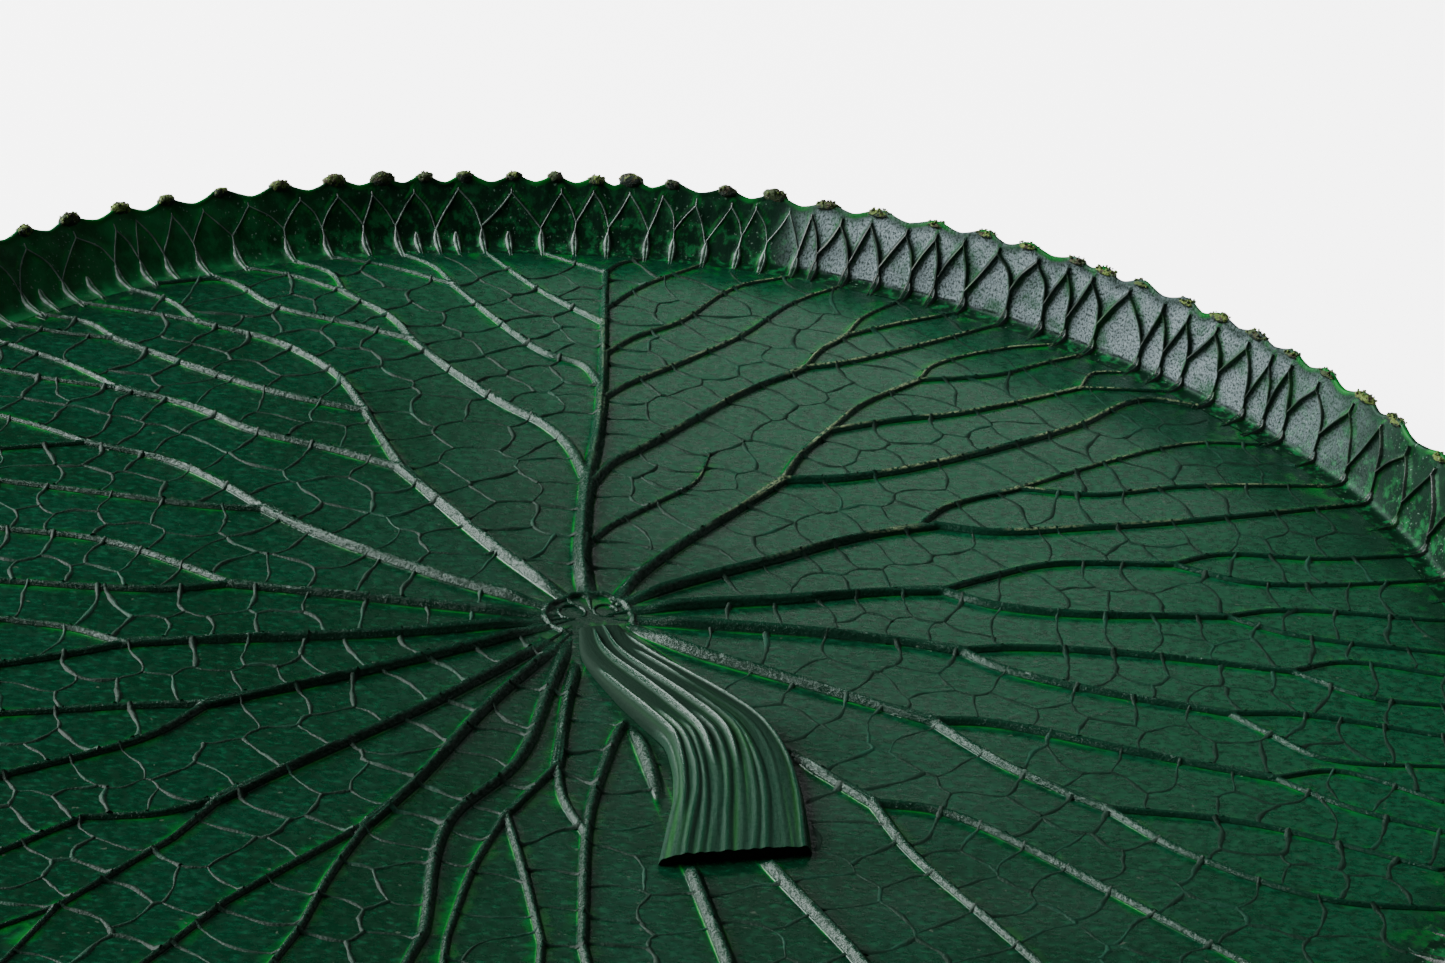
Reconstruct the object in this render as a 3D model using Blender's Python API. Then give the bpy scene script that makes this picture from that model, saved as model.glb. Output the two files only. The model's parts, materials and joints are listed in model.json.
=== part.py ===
"""Water lily pad: a tray-shaped leaf with forking ribs, an upright latticed rim and its cut leaf stalk.

Run with: blender --background --python part.py

The leaf is one solid. Its face is a flat round floor that turns up into a low wall. Ribs fork outward
from a small ring at the knot to a foot at the base of the wall, each foot climbs the wall and splits
to the two nubs beside it, and the nubs stand on the wall's edge. The stalk is a flattened, fluted
strip that comes out of the ring and lies on the face, cut straight across at its end.

The face is drawn flat, as if the wall were unrolled, and is then bent up. A place on it is a bearing
in degrees, clockwise from +Y as seen from above, and a reach in percent of the floor's radius.
"""
import math

import bmesh
import bpy
import numpy as np
from mathutils import Vector
from mathutils.geometry import delaunay_2d_cdt

# Driving dimensions, in metres.
FLOOR_RADIUS = 0.400
FLOOR_THICKNESS = 0.005
CREASE_RADIUS = 0.005       # the turn from floor to wall
WALL_FOOT_THICKNESS = 0.005
WALL_TOP_THICKNESS = 0.003
TOUCH_GAP = 0.0003          # kept between the stalk and the face it lies on
MERGE_MILLIMETRES = 0.3     # points of the flat drawing nearer than this become one
PERCENT = FLOOR_RADIUS / 100.0
CREASE_REACH = (FLOOR_RADIUS + (math.pi / 4.0 - 1.0) * CREASE_RADIUS) / PERCENT

# The wall, as (bearing, height of the wall, how far its top leans out), in percent of the radius.
WALL_SHAPE = ((-170, 7.6, 3.2), (-120, 7.2, 4.4), (-70, 6.6, 5.4), (-30, 6.0, 5.6), (8, 6.6, 5.2),
              (32, 9.4, 2.0), (60, 9.6, 2.0), (78, 9.3, 2.2), (122, 6.0, 5.0), (158, 6.8, 4.4))

# Feet and nubs, by bearing where the rim is seen, and evenly spaced in the rest of it. A blind foot is
# only a drop with no branches. Pitches are in degrees, other sizes in percent of the radius.
FEET_SEEN = (-49, -45.5, -41, -39, -37, -34.5, -31.5, -27.5, -24.5, -21.5, -19, -16, -12.5, -8, -5.5,
             -3, 0, 2, 4.5, 7, 9, 11.5, 13, 15.5, 18, 20.5, 22.5, 25, 28.5, 31.5, 33.5, 36, 40, 42, 44,
             47, 50, 52, 54, 57.5, 61, 64, 67.5, 71.5, 75)
BLIND_FEET = (-160, -137.5, -104.5, -80, -47.5, -43.5, -17.5, -14.5, -10.5, 98, 139)
NUBS_SEEN = (-43, -39, -35.5, -31.5, -27, -23, -19.5, -16.5, -13.5, -10, -7, -4, -1.5, 1.5, 5.5, 9, 13,
             17, 21.5, 25.5, 29, 33, 35.5, 38.5, 42.5, 45.5, 49, 52.5, 56, 60, 63.5, 69)
FOOT_PITCH = 2.75
NUB_PITCH = 3.6
FOOT_REACH = 96.5           # where the drop-shaped foot starts on the floor
FOOT_WIDTH = 1.6
FOOT_STEEPNESS = 0.5
STEM_WIDTH = 1.1
STEM_SHARE = 0.33           # share of the wall's height where a foot splits in two
BRANCH_WIDTH = 0.9
BRANCH_HEIGHT = 0.5
APEX_SHARE = 0.86           # share of the wall's height where two branches meet
EDGE_MARGIN = 0.3           # the lattice ends this far below the wall's edge
NUB_WIDTH = 2.3
NUB_HEIGHT = 1.3

# Ribs: height over width, drawing step, and the reach past which a rib runs on to the nearest foot.
RIB_STEEPNESS = 0.75
RIB_STEP = 12.0
RIM_REACH = 96.0
RIB_END = 97.5              # where ribs run into their foot
RING_REACH = 4.8
RING_WIDTH = 1.1
RING_BEARINGS = range(160, 497, 24)     # the ring is open where the stalk comes out of it

# Each rib: the rib whose end it goes on from, its width at both ends in thousandths of the radius,
# and its way points.
RIBS = {
    "far": (None, 24, 9, ((-9, 5), (-9, 12), (-7, 19), (-5, 30), (-3, 46), (-3, 92))),
    "far_tip_left": ("far", 9, 6, ((-6, 95), (-8, 99))),
    "far_tip_right": ("far", 9, 6, ((-2, 95), (0, 99))),
    "far_low_right": (None, 12, 4, ((-4, 17), (2, 21), (11, 28), (16, 35), (15, 43))),
    "far_right": (None, 16, 11, ((-4, 31), (0, 37), (4, 41), (10, 51), (14, 61), (18, 71))),
    "far_right_a": ("far_right", 11, 7, ((21, 75), (25, 85), (29, 98))),
    "far_right_b": ("far_right", 11, 9, ((18, 77), (19, 83))),
    "far_right_b1": ("far_right_b", 9, 7, ((22, 90), (24.5, 98))),
    "far_right_b2": ("far_right_b", 8, 6, ((19, 89), (20.5, 98))),
    "far_mid_right": (None, 12, 6, ((-3, 53), (0, 58), (6, 67), (10, 76), (13, 90), (15, 98))),
    "far_high_right": (None, 11, 6, ((-3, 66), (0, 72), (4, 78), (8, 92), (11, 98))),
    "far_top_right": (None, 10, 6, ((-3, 80), (0, 88), (4, 98))),
    "far_left": (None, 17, 12, ((-5, 32), (-8, 41), (-11, 46), (-16, 52), (-20, 61), (-22.5, 71))),
    "far_left_a": ("far_left", 12, 8, ((-27, 77), (-32, 85), (-34, 95), (-38, 99))),
    "far_left_a1": (None, 7, 6, ((-33.5, 94), (-34.5, 99))),
    "far_left_b": ("far_left", 12, 10, ((-23, 78), (-25.5, 87))),
    "far_left_b1": ("far_left_b", 9, 7, ((-29, 94), (-31, 99))),
    "far_left_b2": ("far_left_b", 9, 7, ((-25.5, 93), (-27, 99))),
    "far_mid_left": (None, 13, 9, ((-3, 57), (-5, 63), (-9, 66), (-12, 72), (-16, 87))),
    "far_mid_left_a": ("far_mid_left", 9, 7, ((-21, 94), (-24.5, 99))),
    "far_mid_left_b": ("far_mid_left", 9, 6, ((-17, 93), (-19, 99))),
    "far_high_left": (None, 12, 6, ((-3, 76), (-7, 82), (-9, 86), (-12, 99))),
    "right_far": (None, 18, 14, ((31, 5), (25, 10), (26, 17), (28, 28), (29, 41))),
    "right_far_a": ("right_far", 15, 10, ((36, 47), (42, 63), (44, 80), (44, 93), (48, 99))),
    "right_far_b": ("right_far", 14, 12, ((27, 48), (26.5, 56))),
    "right_far_b1": ("right_far_b", 12, 8, ((31, 64), (35, 71), (39.5, 89))),
    "right_far_b1a": ("right_far_b1", 8, 6, ((43.5, 99),)),
    "right_far_b1b": ("right_far_b1", 7, 6, ((38.5, 94), (40, 99))),
    "right_far_b2": ("right_far_b", 11, 9, ((26.5, 65), (28.5, 76))),
    "right_far_b2a": ("right_far_b2", 9, 7, ((33, 84), (35, 93), (36.5, 99))),
    "right_far_b2b": ("right_far_b2", 8, 6, ((28, 81), (31, 92), (33, 98))),
    "right_high": (None, 20, 14, ((42, 5), (46, 12), (50, 24), (51, 37), (53.5, 47))),
    "right_high_a": ("right_high", 14, 8, ((58, 52), (61, 63), (63, 78), (65, 99))),
    "right_high_b": (None, 11, 9, ((52, 46), (50, 51), (50.5, 62))),
    "right_high_b1": ("right_high_b", 9, 7, ((55, 69), (57, 80), (61, 97))),
    "right_high_b2": ("right_high_b", 8, 6, ((50.5, 76), (51.5, 90), (54, 99))),
    "right_mid": (None, 21, 15, ((65, 5), (68, 12), (71, 22), (71, 33), (72, 40))),
    "right_mid_a": ("right_mid", 15, 11, ((77, 45), (79.5, 54), (80, 71))),
    "right_mid_a1": ("right_mid_a", 9, 7, ((83, 78), (85, 95))),
    "right_mid_a2": ("right_mid_a", 9, 7, ((79, 77), (80.5, 95))),
    "right_mid_b": ("right_mid", 12, 10, ((69, 47), (67.5, 54), (70, 69))),
    "right_mid_b1": ("right_mid_b", 10, 7, ((74, 76), (75, 84), (76, 98))),
    "right_mid_b2": ("right_mid_b", 9, 7, ((69, 75), (71, 87), (72, 98))),
    "right": (None, 21, 15, ((90, 5), (90, 35), (91, 40))),
    "right_a": ("right", 13, 10, ((89, 45), (88, 55), (89, 76))),
    "right_a1": ("right_a", 9, 7, ((87, 82), (88, 94))),
    "right_a2": ("right_a", 9, 7, ((92, 84), (92, 93))),
    "right_b": ("right", 14, 11, ((95, 45), (97, 54), (97.5, 69))),
    "right_b1": ("right_b", 10, 7, ((96, 76), (96, 92))),
    "right_b2": ("right_b", 10, 6, ((100, 74), (102, 79), (100, 92))),
    "right_low": (None, 21, 16, ((111, 5), (117, 13), (115, 22), (113.5, 40))),
    "right_low_a": ("right_low", 15, 11, ((110, 45), (108, 59), (106.5, 75))),
    "right_low_a1": ("right_low_a", 9, 7, ((103.5, 81), (104.5, 92))),
    "right_low_a2": ("right_low_a", 10, 7, ((108, 83), (108, 93))),
    "right_low_b": ("right_low", 15, 12, ((118, 50), (119, 62))),
    "right_low_b1": ("right_low_b", 11, 7, ((114, 75), (112.5, 94))),
    "right_low_b2": ("right_low_b", 12, 8, ((121, 72), (120, 86), (117, 96))),
    "near_right": (None, 20, 16, ((132, 5), (136, 18), (138, 32), (137, 45))),
    "near_right_a": ("near_right", 14, 11, ((132, 50), (130, 60), (130, 78))),
    "near_right_b": ("near_right", 14, 11, ((140, 53), (141, 64))),
    "near_under_right": (None, 20, 17, ((152, 6), (156.5, 22), (156, 46), (154, 66))),
    "near_under_left": (None, 20, 16, ((161, 6), (164.5, 22), (164.5, 64))),
    "near_bent": (None, 15, 12, ((170, 6), (163, 20), (169, 24), (173, 30), (176, 40), (176.5, 62))),
    "near": (None, 16, 14, ((-178, 6), (-176.5, 17), (-178, 31))),
    "near_a": ("near", 13, 12, ((-175, 36), (-172.5, 41))),
    "near_a1": ("near_a", 11, 9, ((-171.5, 51), (-172, 63))),
    "near_a2": ("near_a", 11, 10, ((-176, 48), (-180, 62))),
    "near_b": ("near", 12, 11, ((180, 37), (176.5, 43))),
    "near_left": (None, 17, 13, ((-164, 7), (-169, 16), (-170.5, 32), (-166, 44), (-170, 63))),
    "near_mid_left": (None, 18, 15, ((-156, 8), (-156, 22), (-158, 40), (-157.5, 48))),
    "near_mid_left_a": ("near_mid_left", 12, 10, ((-159, 58), (-160.5, 67))),
    "near_mid_left_b": ("near_mid_left", 12, 10, ((-156, 54), (-153.5, 67))),
    "near_high_left": (None, 19, 15, ((-147, 8), (-145, 25), (-143, 40), (-142, 54))),
    "near_high_left_a": ("near_high_left", 12, 10, ((-140, 60), (-136.5, 66))),
    "near_high_left_b": ("near_high_left", 12, 10, ((-144, 62),)),
    "left_low": (None, 19, 15, ((-124, 6), (-126, 16), (-125, 32), (-124, 45))),
    "left_low_a": ("left_low", 12, 10, ((-121, 52), (-118, 65))),
    "left_low_b": ("left_low", 13, 11, ((-127.5, 53), (-127.5, 69))),
    "left_mid": (None, 19, 15, ((-112, 6), (-110.5, 20), (-108, 36), (-107, 50))),
    "left_mid_a": ("left_mid", 11, 10, ((-103, 55), (-101, 62))),
    "left_mid_b": ("left_mid", 13, 11, ((-108.5, 56), (-109.5, 63))),
    "left": (None, 18, 14, ((-100, 5), (-92, 20), (-90, 39))),
    "left_a": ("left", 12, 10, ((-86.5, 44), (-82.5, 55), (-83, 66))),
    "left_b": ("left", 13, 10, ((-93, 46), (-93.5, 63))),
    "left_high": (None, 20, 15, ((-76, 5), (-71.5, 17), (-67.5, 34), (-65, 42))),
    "left_high_a": ("left_high", 13, 10, ((-62.5, 49), (-61.5, 58), (-63.5, 68))),
    "left_high_a1": ("left_high_a", 9, 7, ((-63.5, 73), (-64, 80))),
    "left_high_a2": ("left_high_a", 9, 8, ((-69, 75),)),
    "left_high_b": ("left_high", 12, 9, ((-69, 48), (-72, 58), (-74.5, 71))),
    "left_far": (None, 21, 16, ((-42, 5), (-41, 18), (-38.5, 39))),
    "left_far_a": ("left_far", 14, 11, ((-44, 47), (-49, 56), (-50.5, 66), (-53, 75))),
    "left_far_a1": ("left_far_a", 9, 7, ((-56, 82), (-58, 90))),
    "left_far_a2": ("left_far_a", 9, 7, ((-53, 83), (-54, 92))),
    "left_far_b": ("left_far", 15, 12, ((-35, 50), (-34, 54))),
    "left_far_b1": ("left_far_b", 13, 10, ((-40, 61), (-44, 71), (-47, 86))),
    "left_far_b1a": ("left_far_b1", 9, 7, ((-50, 92), (-52, 97))),
    "left_far_b1b": ("left_far_b1", 9, 7, ((-47, 92), (-49, 99))),
    "left_far_b2": ("left_far_b", 13, 10, ((-33, 65), (-35, 75), (-39.5, 85))),
    "left_far_b2a": ("left_far_b2", 9, 7, ((-43, 92), (-45.5, 99))),
    "left_far_b2b": ("left_far_b2", 9, 7, ((-39.5, 92), (-40.5, 99))),
}
FADING_RIBS = ("far_low_right", "near_b")   # these end on the floor or in another rib

# The stalk: way points, then its width and height at each of them, in percent of the radius.
STALK_ROUTE = ((158, 3), (160, 9), (153, 17), (150, 22), (148, 27.5), (150, 32.5), (153, 37.5), (156.3, 43),
               (159, 48.4))
STALK_WIDTHS = (4.6, 7.2, 9.4, 10.6, 11.8, 12.6, 13.4, 14.5, 15.4)
STALK_HEIGHTS = (2.6, 3.2, 3.1, 2.9, 2.6, 2.3, 2.0, 1.8, 1.6)
STALK_SKEW = 16.0           # degrees that the cut is turned from square to the stalk
STALK_SKEW_SHARES = (0.48, 0.78)    # shares of the stalk's length over which the turn builds up
STALK_FLUTES = 9
STALK_SECTIONS = 12
FLUTE_DEPTH = 0.38          # share of the stalk's height
STALK_CLEARANCE = 0.4       # percent; the face is flat this far past the stalk's edge
STALK_RAMP = 2.0            # percent; ribs reach their full height this far past it

LEAF_GREEN = (0.045, 0.085, 0.055, 1.0)
STALK_GREEN = (0.035, 0.060, 0.042, 1.0)


def flat_point(bearing, reach):
    """Return the drawing-plane point for a bearing in degrees and a reach in percent."""
    angle = math.radians(bearing)
    return np.array((math.sin(angle), math.cos(angle))) * reach * PERCENT


def turn_between(first, second):
    """Return the signed turn from one bearing to another, within half a turn."""
    return (second - first + 180.0) % 360.0 - 180.0


def wall_value(bearing, column):
    """Blend one column of WALL_SHAPE smoothly around the rim."""
    bearings = [row[0] for row in WALL_SHAPE]
    values = [row[column] for row in WALL_SHAPE]
    here = (bearing + 180.0) % 360.0 - 180.0
    if here < bearings[0]:
        here += 360.0
    bearings.append(bearings[0] + 360.0)
    values.append(values[0])
    index = max(i for i in range(len(WALL_SHAPE)) if bearings[i] <= here)
    share = (here - bearings[index]) / (bearings[index + 1] - bearings[index])
    share = share * share * (3.0 - 2.0 * share)
    return values[index] + (values[index + 1] - values[index]) * share


def wall_height(bearing):
    """Height of the wall's edge above the floor, in metres."""
    return wall_value(bearing, 1) * PERCENT


def wall_lean(bearing):
    """How far the wall's edge leans out, in metres."""
    return wall_value(bearing, 2) * PERCENT


def rise_to_reach(rise):
    """Return how far out on the flat drawing a height on the wall lies, in metres."""
    return FLOOR_RADIUS - CREASE_RADIUS + CREASE_RADIUS * math.pi / 2.0 + rise - CREASE_RADIUS


def bend_up(point, lift):
    """Bend a flat point up into the tray, raised by lift from the face."""
    reach = math.hypot(point[0], point[1])
    if reach < 1e-9:
        return Vector((0.0, 0.0, FLOOR_THICKNESS + lift))
    bearing = math.degrees(math.atan2(point[0], point[1]))
    crease_start = FLOOR_RADIUS - CREASE_RADIUS
    turn = min(max((reach - crease_start) / CREASE_RADIUS, 0.0), math.pi / 2.0)
    radius = min(reach, crease_start) + CREASE_RADIUS * math.sin(turn)
    rise = CREASE_RADIUS * (1.0 - math.cos(turn))
    rise += max(reach - crease_start - CREASE_RADIUS * math.pi / 2.0, 0.0)
    radius += wall_lean(bearing) * rise / wall_height(bearing) - lift * math.sin(turn)
    height = FLOOR_THICKNESS + rise + lift * math.cos(turn)
    return Vector((radius * point[0] / reach, radius * point[1] / reach, height))


def smooth_route(points, step):
    """Draw a smooth curve through the points, with a point about every step."""
    points = np.array(points)
    if len(points) == 2:
        return points
    knots = np.concatenate(([0.0], np.cumsum(np.linalg.norm(np.diff(points, axis=0), axis=1))))
    slopes = np.diff(points, axis=0) / np.diff(knots)[:, None]
    tangents = np.vstack((slopes[:1], (slopes[:-1] + slopes[1:]) / 2.0, slopes[-1:]))
    curve = [points[0]]
    for i in range(len(points) - 1):
        length = knots[i + 1] - knots[i]
        count = max(1, round(length / step))
        for share in np.arange(1, count + 1) / count:
            square, cube = share ** 2, share ** 3
            curve.append((2 * cube - 3 * square + 1) * points[i] + (3 * square - 2 * cube) * points[i + 1]
                         + (cube - 2 * square + share) * length * tangents[i]
                         + (cube - square) * length * tangents[i + 1])
    return np.array(curve)


def around_rim(seen, pitch):
    """Return the bearings seen, followed by even ones at about the pitch in the rest of the rim."""
    gap = 360.0 + seen[0] - seen[-1]
    count = round(gap / pitch)
    return list(seen) + [seen[-1] + gap * i / count for i in range(1, count)]


def middles(bearings):
    """Return the bearing midway between each of the bearings and the next one round the rim."""
    return [bearing + turn_between(bearing, bearings[(i + 1) % len(bearings)]) / 2.0
            for i, bearing in enumerate(bearings)]


def nearest_foot(feet, bearing):
    """Return the foot nearest to a bearing."""
    return min(feet, key=lambda foot: abs(turn_between(bearing, foot)))


def drawn_ribs(feet):
    """Return the named ribs as way points with a width at each end, and the tips that end early."""
    parents = {row[0] for row in RIBS.values()}
    ribs, tips = [], []
    for name, (parent, start_width, end_width, waypoints) in RIBS.items():
        route = list(waypoints)
        if parent:
            route.insert(0, RIBS[parent][3][-1])
        bearing, reach = route[-1]
        if reach >= RIM_REACH:
            route[-1] = (nearest_foot(feet, bearing), RIB_END)
        if name not in parents and name not in FADING_RIBS:
            tips.append((bearing, reach, end_width))
        ribs.append((route, start_width, end_width))
    return ribs, tips


def grown_ribs(tips, feet):
    """Fork each early tip outward to its share of the feet, in the part of the rim that isn't named."""
    shares = {tip: [] for tip in tips}
    for foot in feet:
        shares[min(tips, key=lambda tip: abs(turn_between(tip[0], foot)))].append(foot)
    ribs = []
    for tip, share in shares.items():
        if tip[1] >= RIM_REACH:
            continue
        share = share or [nearest_foot(feet, tip[0])]
        share.sort(key=lambda foot: turn_between(tip[0], foot))
        count = max(1, round(len(share) * 0.66)) if tip[1] < 85.0 else 1
        picks = [share[round((i + 0.5) * len(share) / count - 0.5)] for i in range(count)]
        fork_out(ribs, tip, picks)
    return ribs


def fork_out(ribs, start, feet):
    """Add the ribs that run from a start, given as bearing, reach and width, to all the feet."""
    bearing, reach, width = start
    if len(feet) == 1:
        end = (bearing + turn_between(bearing, feet[0]), RIB_END)
        middle = (bearing + 0.65 * (end[0] - bearing), reach + 0.5 * (end[1] - reach))
        ribs.append(([(bearing, reach), middle, end], width, 6))
        return
    mean_turn = sum(turn_between(bearing, foot) for foot in feet) / len(feet)
    wander = 0.12 * math.sin(bearing * 1.7)
    fork = (bearing + 0.5 * mean_turn, reach + (RIM_REACH - reach) * (0.42 + wander))
    fork_width = max(width - 1.5, 7)
    ribs.append(([(bearing, reach), fork], width, fork_width))
    half = len(feet) // 2
    for side in (feet[:half], feet[half:]):
        fork_out(ribs, (fork[0], fork[1], fork_width - 1), side)


def rib_lines(feet):
    """Return every rib of the floor as curve points with the half width at each point."""
    named, tips = drawn_ribs(feet)
    lines = []
    for route, start_width, end_width in named + grown_ribs(tips, feet):
        curve = smooth_route([flat_point(*place) for place in route], RIB_STEP * PERCENT)
        widths = np.linspace(start_width, end_width, len(curve)) * FLOOR_RADIUS / 1000.0
        lines.append((curve, widths / 2.0, RIB_STEEPNESS))
    ring = [flat_point(bearing, RING_REACH) for bearing in RING_BEARINGS]
    lines.append((np.array(ring), np.full(len(ring), RING_WIDTH * PERCENT / 2.0), RIB_STEEPNESS))
    return lines


def wall_reach(bearing, share):
    """Return the reach on the flat drawing, in percent, of a share of the wall's height."""
    return rise_to_reach(share * wall_height(bearing)) / PERCENT


def lattice_lines(feet):
    """Return the ridges of the wall: the feet and their stems, and branches that meet in pairs."""
    lines = []

    def add(places, widths, steepness):
        half_widths = np.array(widths) * PERCENT / 2.0
        lines.append((np.array([flat_point(*place) for place in places]), half_widths, steepness))

    apexes = middles(feet)
    steepness = BRANCH_HEIGHT / BRANCH_WIDTH
    for i, foot in enumerate(feet):
        split = (foot, wall_reach(foot, STEM_SHARE))
        add([(foot, FOOT_REACH), (foot, CREASE_REACH), split], (0.0, FOOT_WIDTH, STEM_WIDTH), FOOT_STEEPNESS)
        for bearing in (apexes[i - 1], apexes[i]):
            apex = (bearing, wall_reach(bearing, APEX_SHARE))
            add([split, apex], (BRANCH_WIDTH, BRANCH_WIDTH), steepness)
        top = (apexes[i], wall_reach(apexes[i], 1.0) - EDGE_MARGIN)
        add([apex, top], (BRANCH_WIDTH, BRANCH_WIDTH), steepness)
    for foot in BLIND_FEET:
        top = (foot, wall_reach(foot, STEM_SHARE))
        add([(foot, FOOT_REACH), (foot, CREASE_REACH), top], (0.0, FOOT_WIDTH, 0.0), FOOT_STEEPNESS)
    return lines


def lattice_drawing(feet):
    """Return the lines that bound the lattice: its crests, and the windows between them."""
    degree = math.radians(1.0) * 100.0
    half_foot, half_stem, half_branch = (
        width / 2.0 / degree for width in (FOOT_WIDTH, STEM_WIDTH, BRANCH_WIDTH))
    apexes = middles(feet)
    lines = []
    for i, foot in enumerate(feet):
        left, right, following = apexes[i - 1], apexes[i], feet[(i + 1) % len(feet)]
        split, apex = wall_reach(foot, STEM_SHARE), wall_reach(right, APEX_SHARE)
        left_top, top = (wall_reach(bearing, 1.0) - EDGE_MARGIN for bearing in (left, right))
        half_turn = math.atan2(turn_between(foot, right) * degree, apex - split)
        clear = BRANCH_WIDTH / 2.0 / math.sin(half_turn)
        lines.append([(foot, FOOT_REACH), (foot, CREASE_REACH), (foot, split), (right, apex), (right, top)])
        lines.append([(foot, split), (left, wall_reach(left, APEX_SHARE))])
        lines.append([(left + half_branch, left_top), (foot, split + clear), (right - half_branch, top)])
        lines.append([(foot, FOOT_REACH), (foot + half_foot, CREASE_REACH), (foot + half_stem, split),
                      (right, apex - clear), (following - half_stem, wall_reach(following, STEM_SHARE)),
                      (following - half_foot, CREASE_REACH), (following, FOOT_REACH)])
    for foot in BLIND_FEET:
        top = (foot, wall_reach(foot, STEM_SHARE))
        lines.append([(foot, FOOT_REACH), (foot, CREASE_REACH), top])
        for side in (half_foot, -half_foot):
            lines.append([(foot, FOOT_REACH), (foot + side, CREASE_REACH), top])
    return [[flat_point(*place) for place in line] for line in lines]


def face_outline():
    """Return the wall's edge on the flat drawing: each nub's flat top, then a dip."""
    nubs = around_rim(NUBS_SEEN, NUB_PITCH)
    half_nub = math.degrees(NUB_WIDTH / 200.0)
    outline = []
    for nub, dip in zip(nubs, middles(nubs)):
        for bearing, extra in ((nub - half_nub, NUB_HEIGHT), (nub + half_nub, NUB_HEIGHT), (dip, 0.0)):
            outline.append(flat_point(bearing, wall_reach(bearing, 1.0) + extra))
    return outline


def stalk_frames(count):
    """Return the stalk's middle line, its sideways directions, widths and heights at count places."""
    waypoints = np.array([flat_point(*place) for place in STALK_ROUTE])
    fine = smooth_route(waypoints, PERCENT)
    lengths = np.concatenate(([0.0], np.cumsum(np.linalg.norm(np.diff(fine, axis=0), axis=1))))
    stations = np.linspace(0.0, lengths[-1], count)
    middle = np.column_stack([np.interp(stations, lengths, fine[:, axis]) for axis in (0, 1)])
    ahead = np.gradient(middle, axis=0)
    ahead /= np.linalg.norm(ahead, axis=1)[:, None]
    start, end = STALK_SKEW_SHARES
    eased = np.clip((stations / lengths[-1] - start) / (end - start), 0.0, 1.0)
    turn = np.radians(STALK_SKEW) * eased * eased * (3.0 - 2.0 * eased)
    left = np.column_stack((-ahead[:, 1], ahead[:, 0]))
    sideways = left * np.cos(turn)[:, None] - ahead * np.sin(turn)[:, None]
    marks = [lengths[np.argmin(np.linalg.norm(fine - point, axis=1))] for point in waypoints]
    widths = np.interp(stations, marks, STALK_WIDTHS) * PERCENT
    heights = np.interp(stations, marks, STALK_HEIGHTS) * PERCENT
    return middle, sideways, widths, heights


def stalk_outline(margin):
    """Return the closed outline of the stalk's footprint, grown by a margin in metres."""
    middle, sideways, widths, _ = stalk_frames(STALK_SECTIONS)
    middle[0] -= (middle[1] - middle[0]) / np.linalg.norm(middle[1] - middle[0]) * margin
    middle[-1] += (middle[-1] - middle[-2]) / np.linalg.norm(middle[-1] - middle[-2]) * margin
    reach = sideways * (widths / 2.0 + margin)[:, None]
    return np.vstack((middle + reach, (middle - reach)[::-1]))


def inside(points, outline):
    """Tell which points lie inside a closed outline, by counting the crossings of a ray."""
    ends = np.roll(outline, -1, axis=0)
    result = np.zeros(len(points), dtype=bool)
    for (x0, y0), (x1, y1) in zip(outline, ends):
        crosses = (points[:, 1] < y0) != (points[:, 1] < y1)
        slope = (x1 - x0) / (y1 - y0) if y1 != y0 else 0.0
        result ^= crosses & (points[:, 0] < x0 + (points[:, 1] - y0) * slope)
    return result


def relief(points, lines):
    """Return how far each flat point is raised: the highest of all the ridges over it."""
    lift = np.zeros(len(points))
    for curve, half_widths, steepness in lines:
        for i in range(len(curve) - 1):
            start, along = curve[i], curve[i + 1] - curve[i]
            share = np.clip((points - start) @ along / (along @ along), 0.0, 1.0)
            distance = np.linalg.norm(points - start - share[:, None] * along, axis=1)
            half = half_widths[i] + share * (half_widths[i + 1] - half_widths[i])
            lift = np.maximum(lift, 2.0 * steepness * (half - distance))
    return lift


def sheet_drawing(feet, ribs):
    """Return the flat drawing's points and edges, with the wall's edge as its first points."""
    outline = face_outline()
    points = list(outline)
    edges = [(i, (i + 1) % len(outline)) for i in range(len(outline))]

    def add_line(line, closed=False):
        first = len(points)
        points.extend(line)
        edges.extend((first + i, first + i + 1) for i in range(len(line) - 1))
        if closed:
            edges.append((len(points) - 1, first))

    for curve, half_widths, _ in ribs:
        ahead = np.gradient(curve, axis=0)
        ahead /= np.linalg.norm(ahead, axis=1)[:, None]
        sideways = np.column_stack((-ahead[:, 1], ahead[:, 0])) * half_widths[:, None]
        for line in (curve, curve + sideways, curve - sideways):
            add_line(line)
    for line in lattice_drawing(feet):
        add_line(line)
    add_line([flat_point(foot, CREASE_REACH) for foot in feet], closed=True)
    for margin in (STALK_CLEARANCE, STALK_RAMP):
        add_line(stalk_outline(margin * PERCENT), closed=True)
    return points, edges, len(outline)


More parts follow.
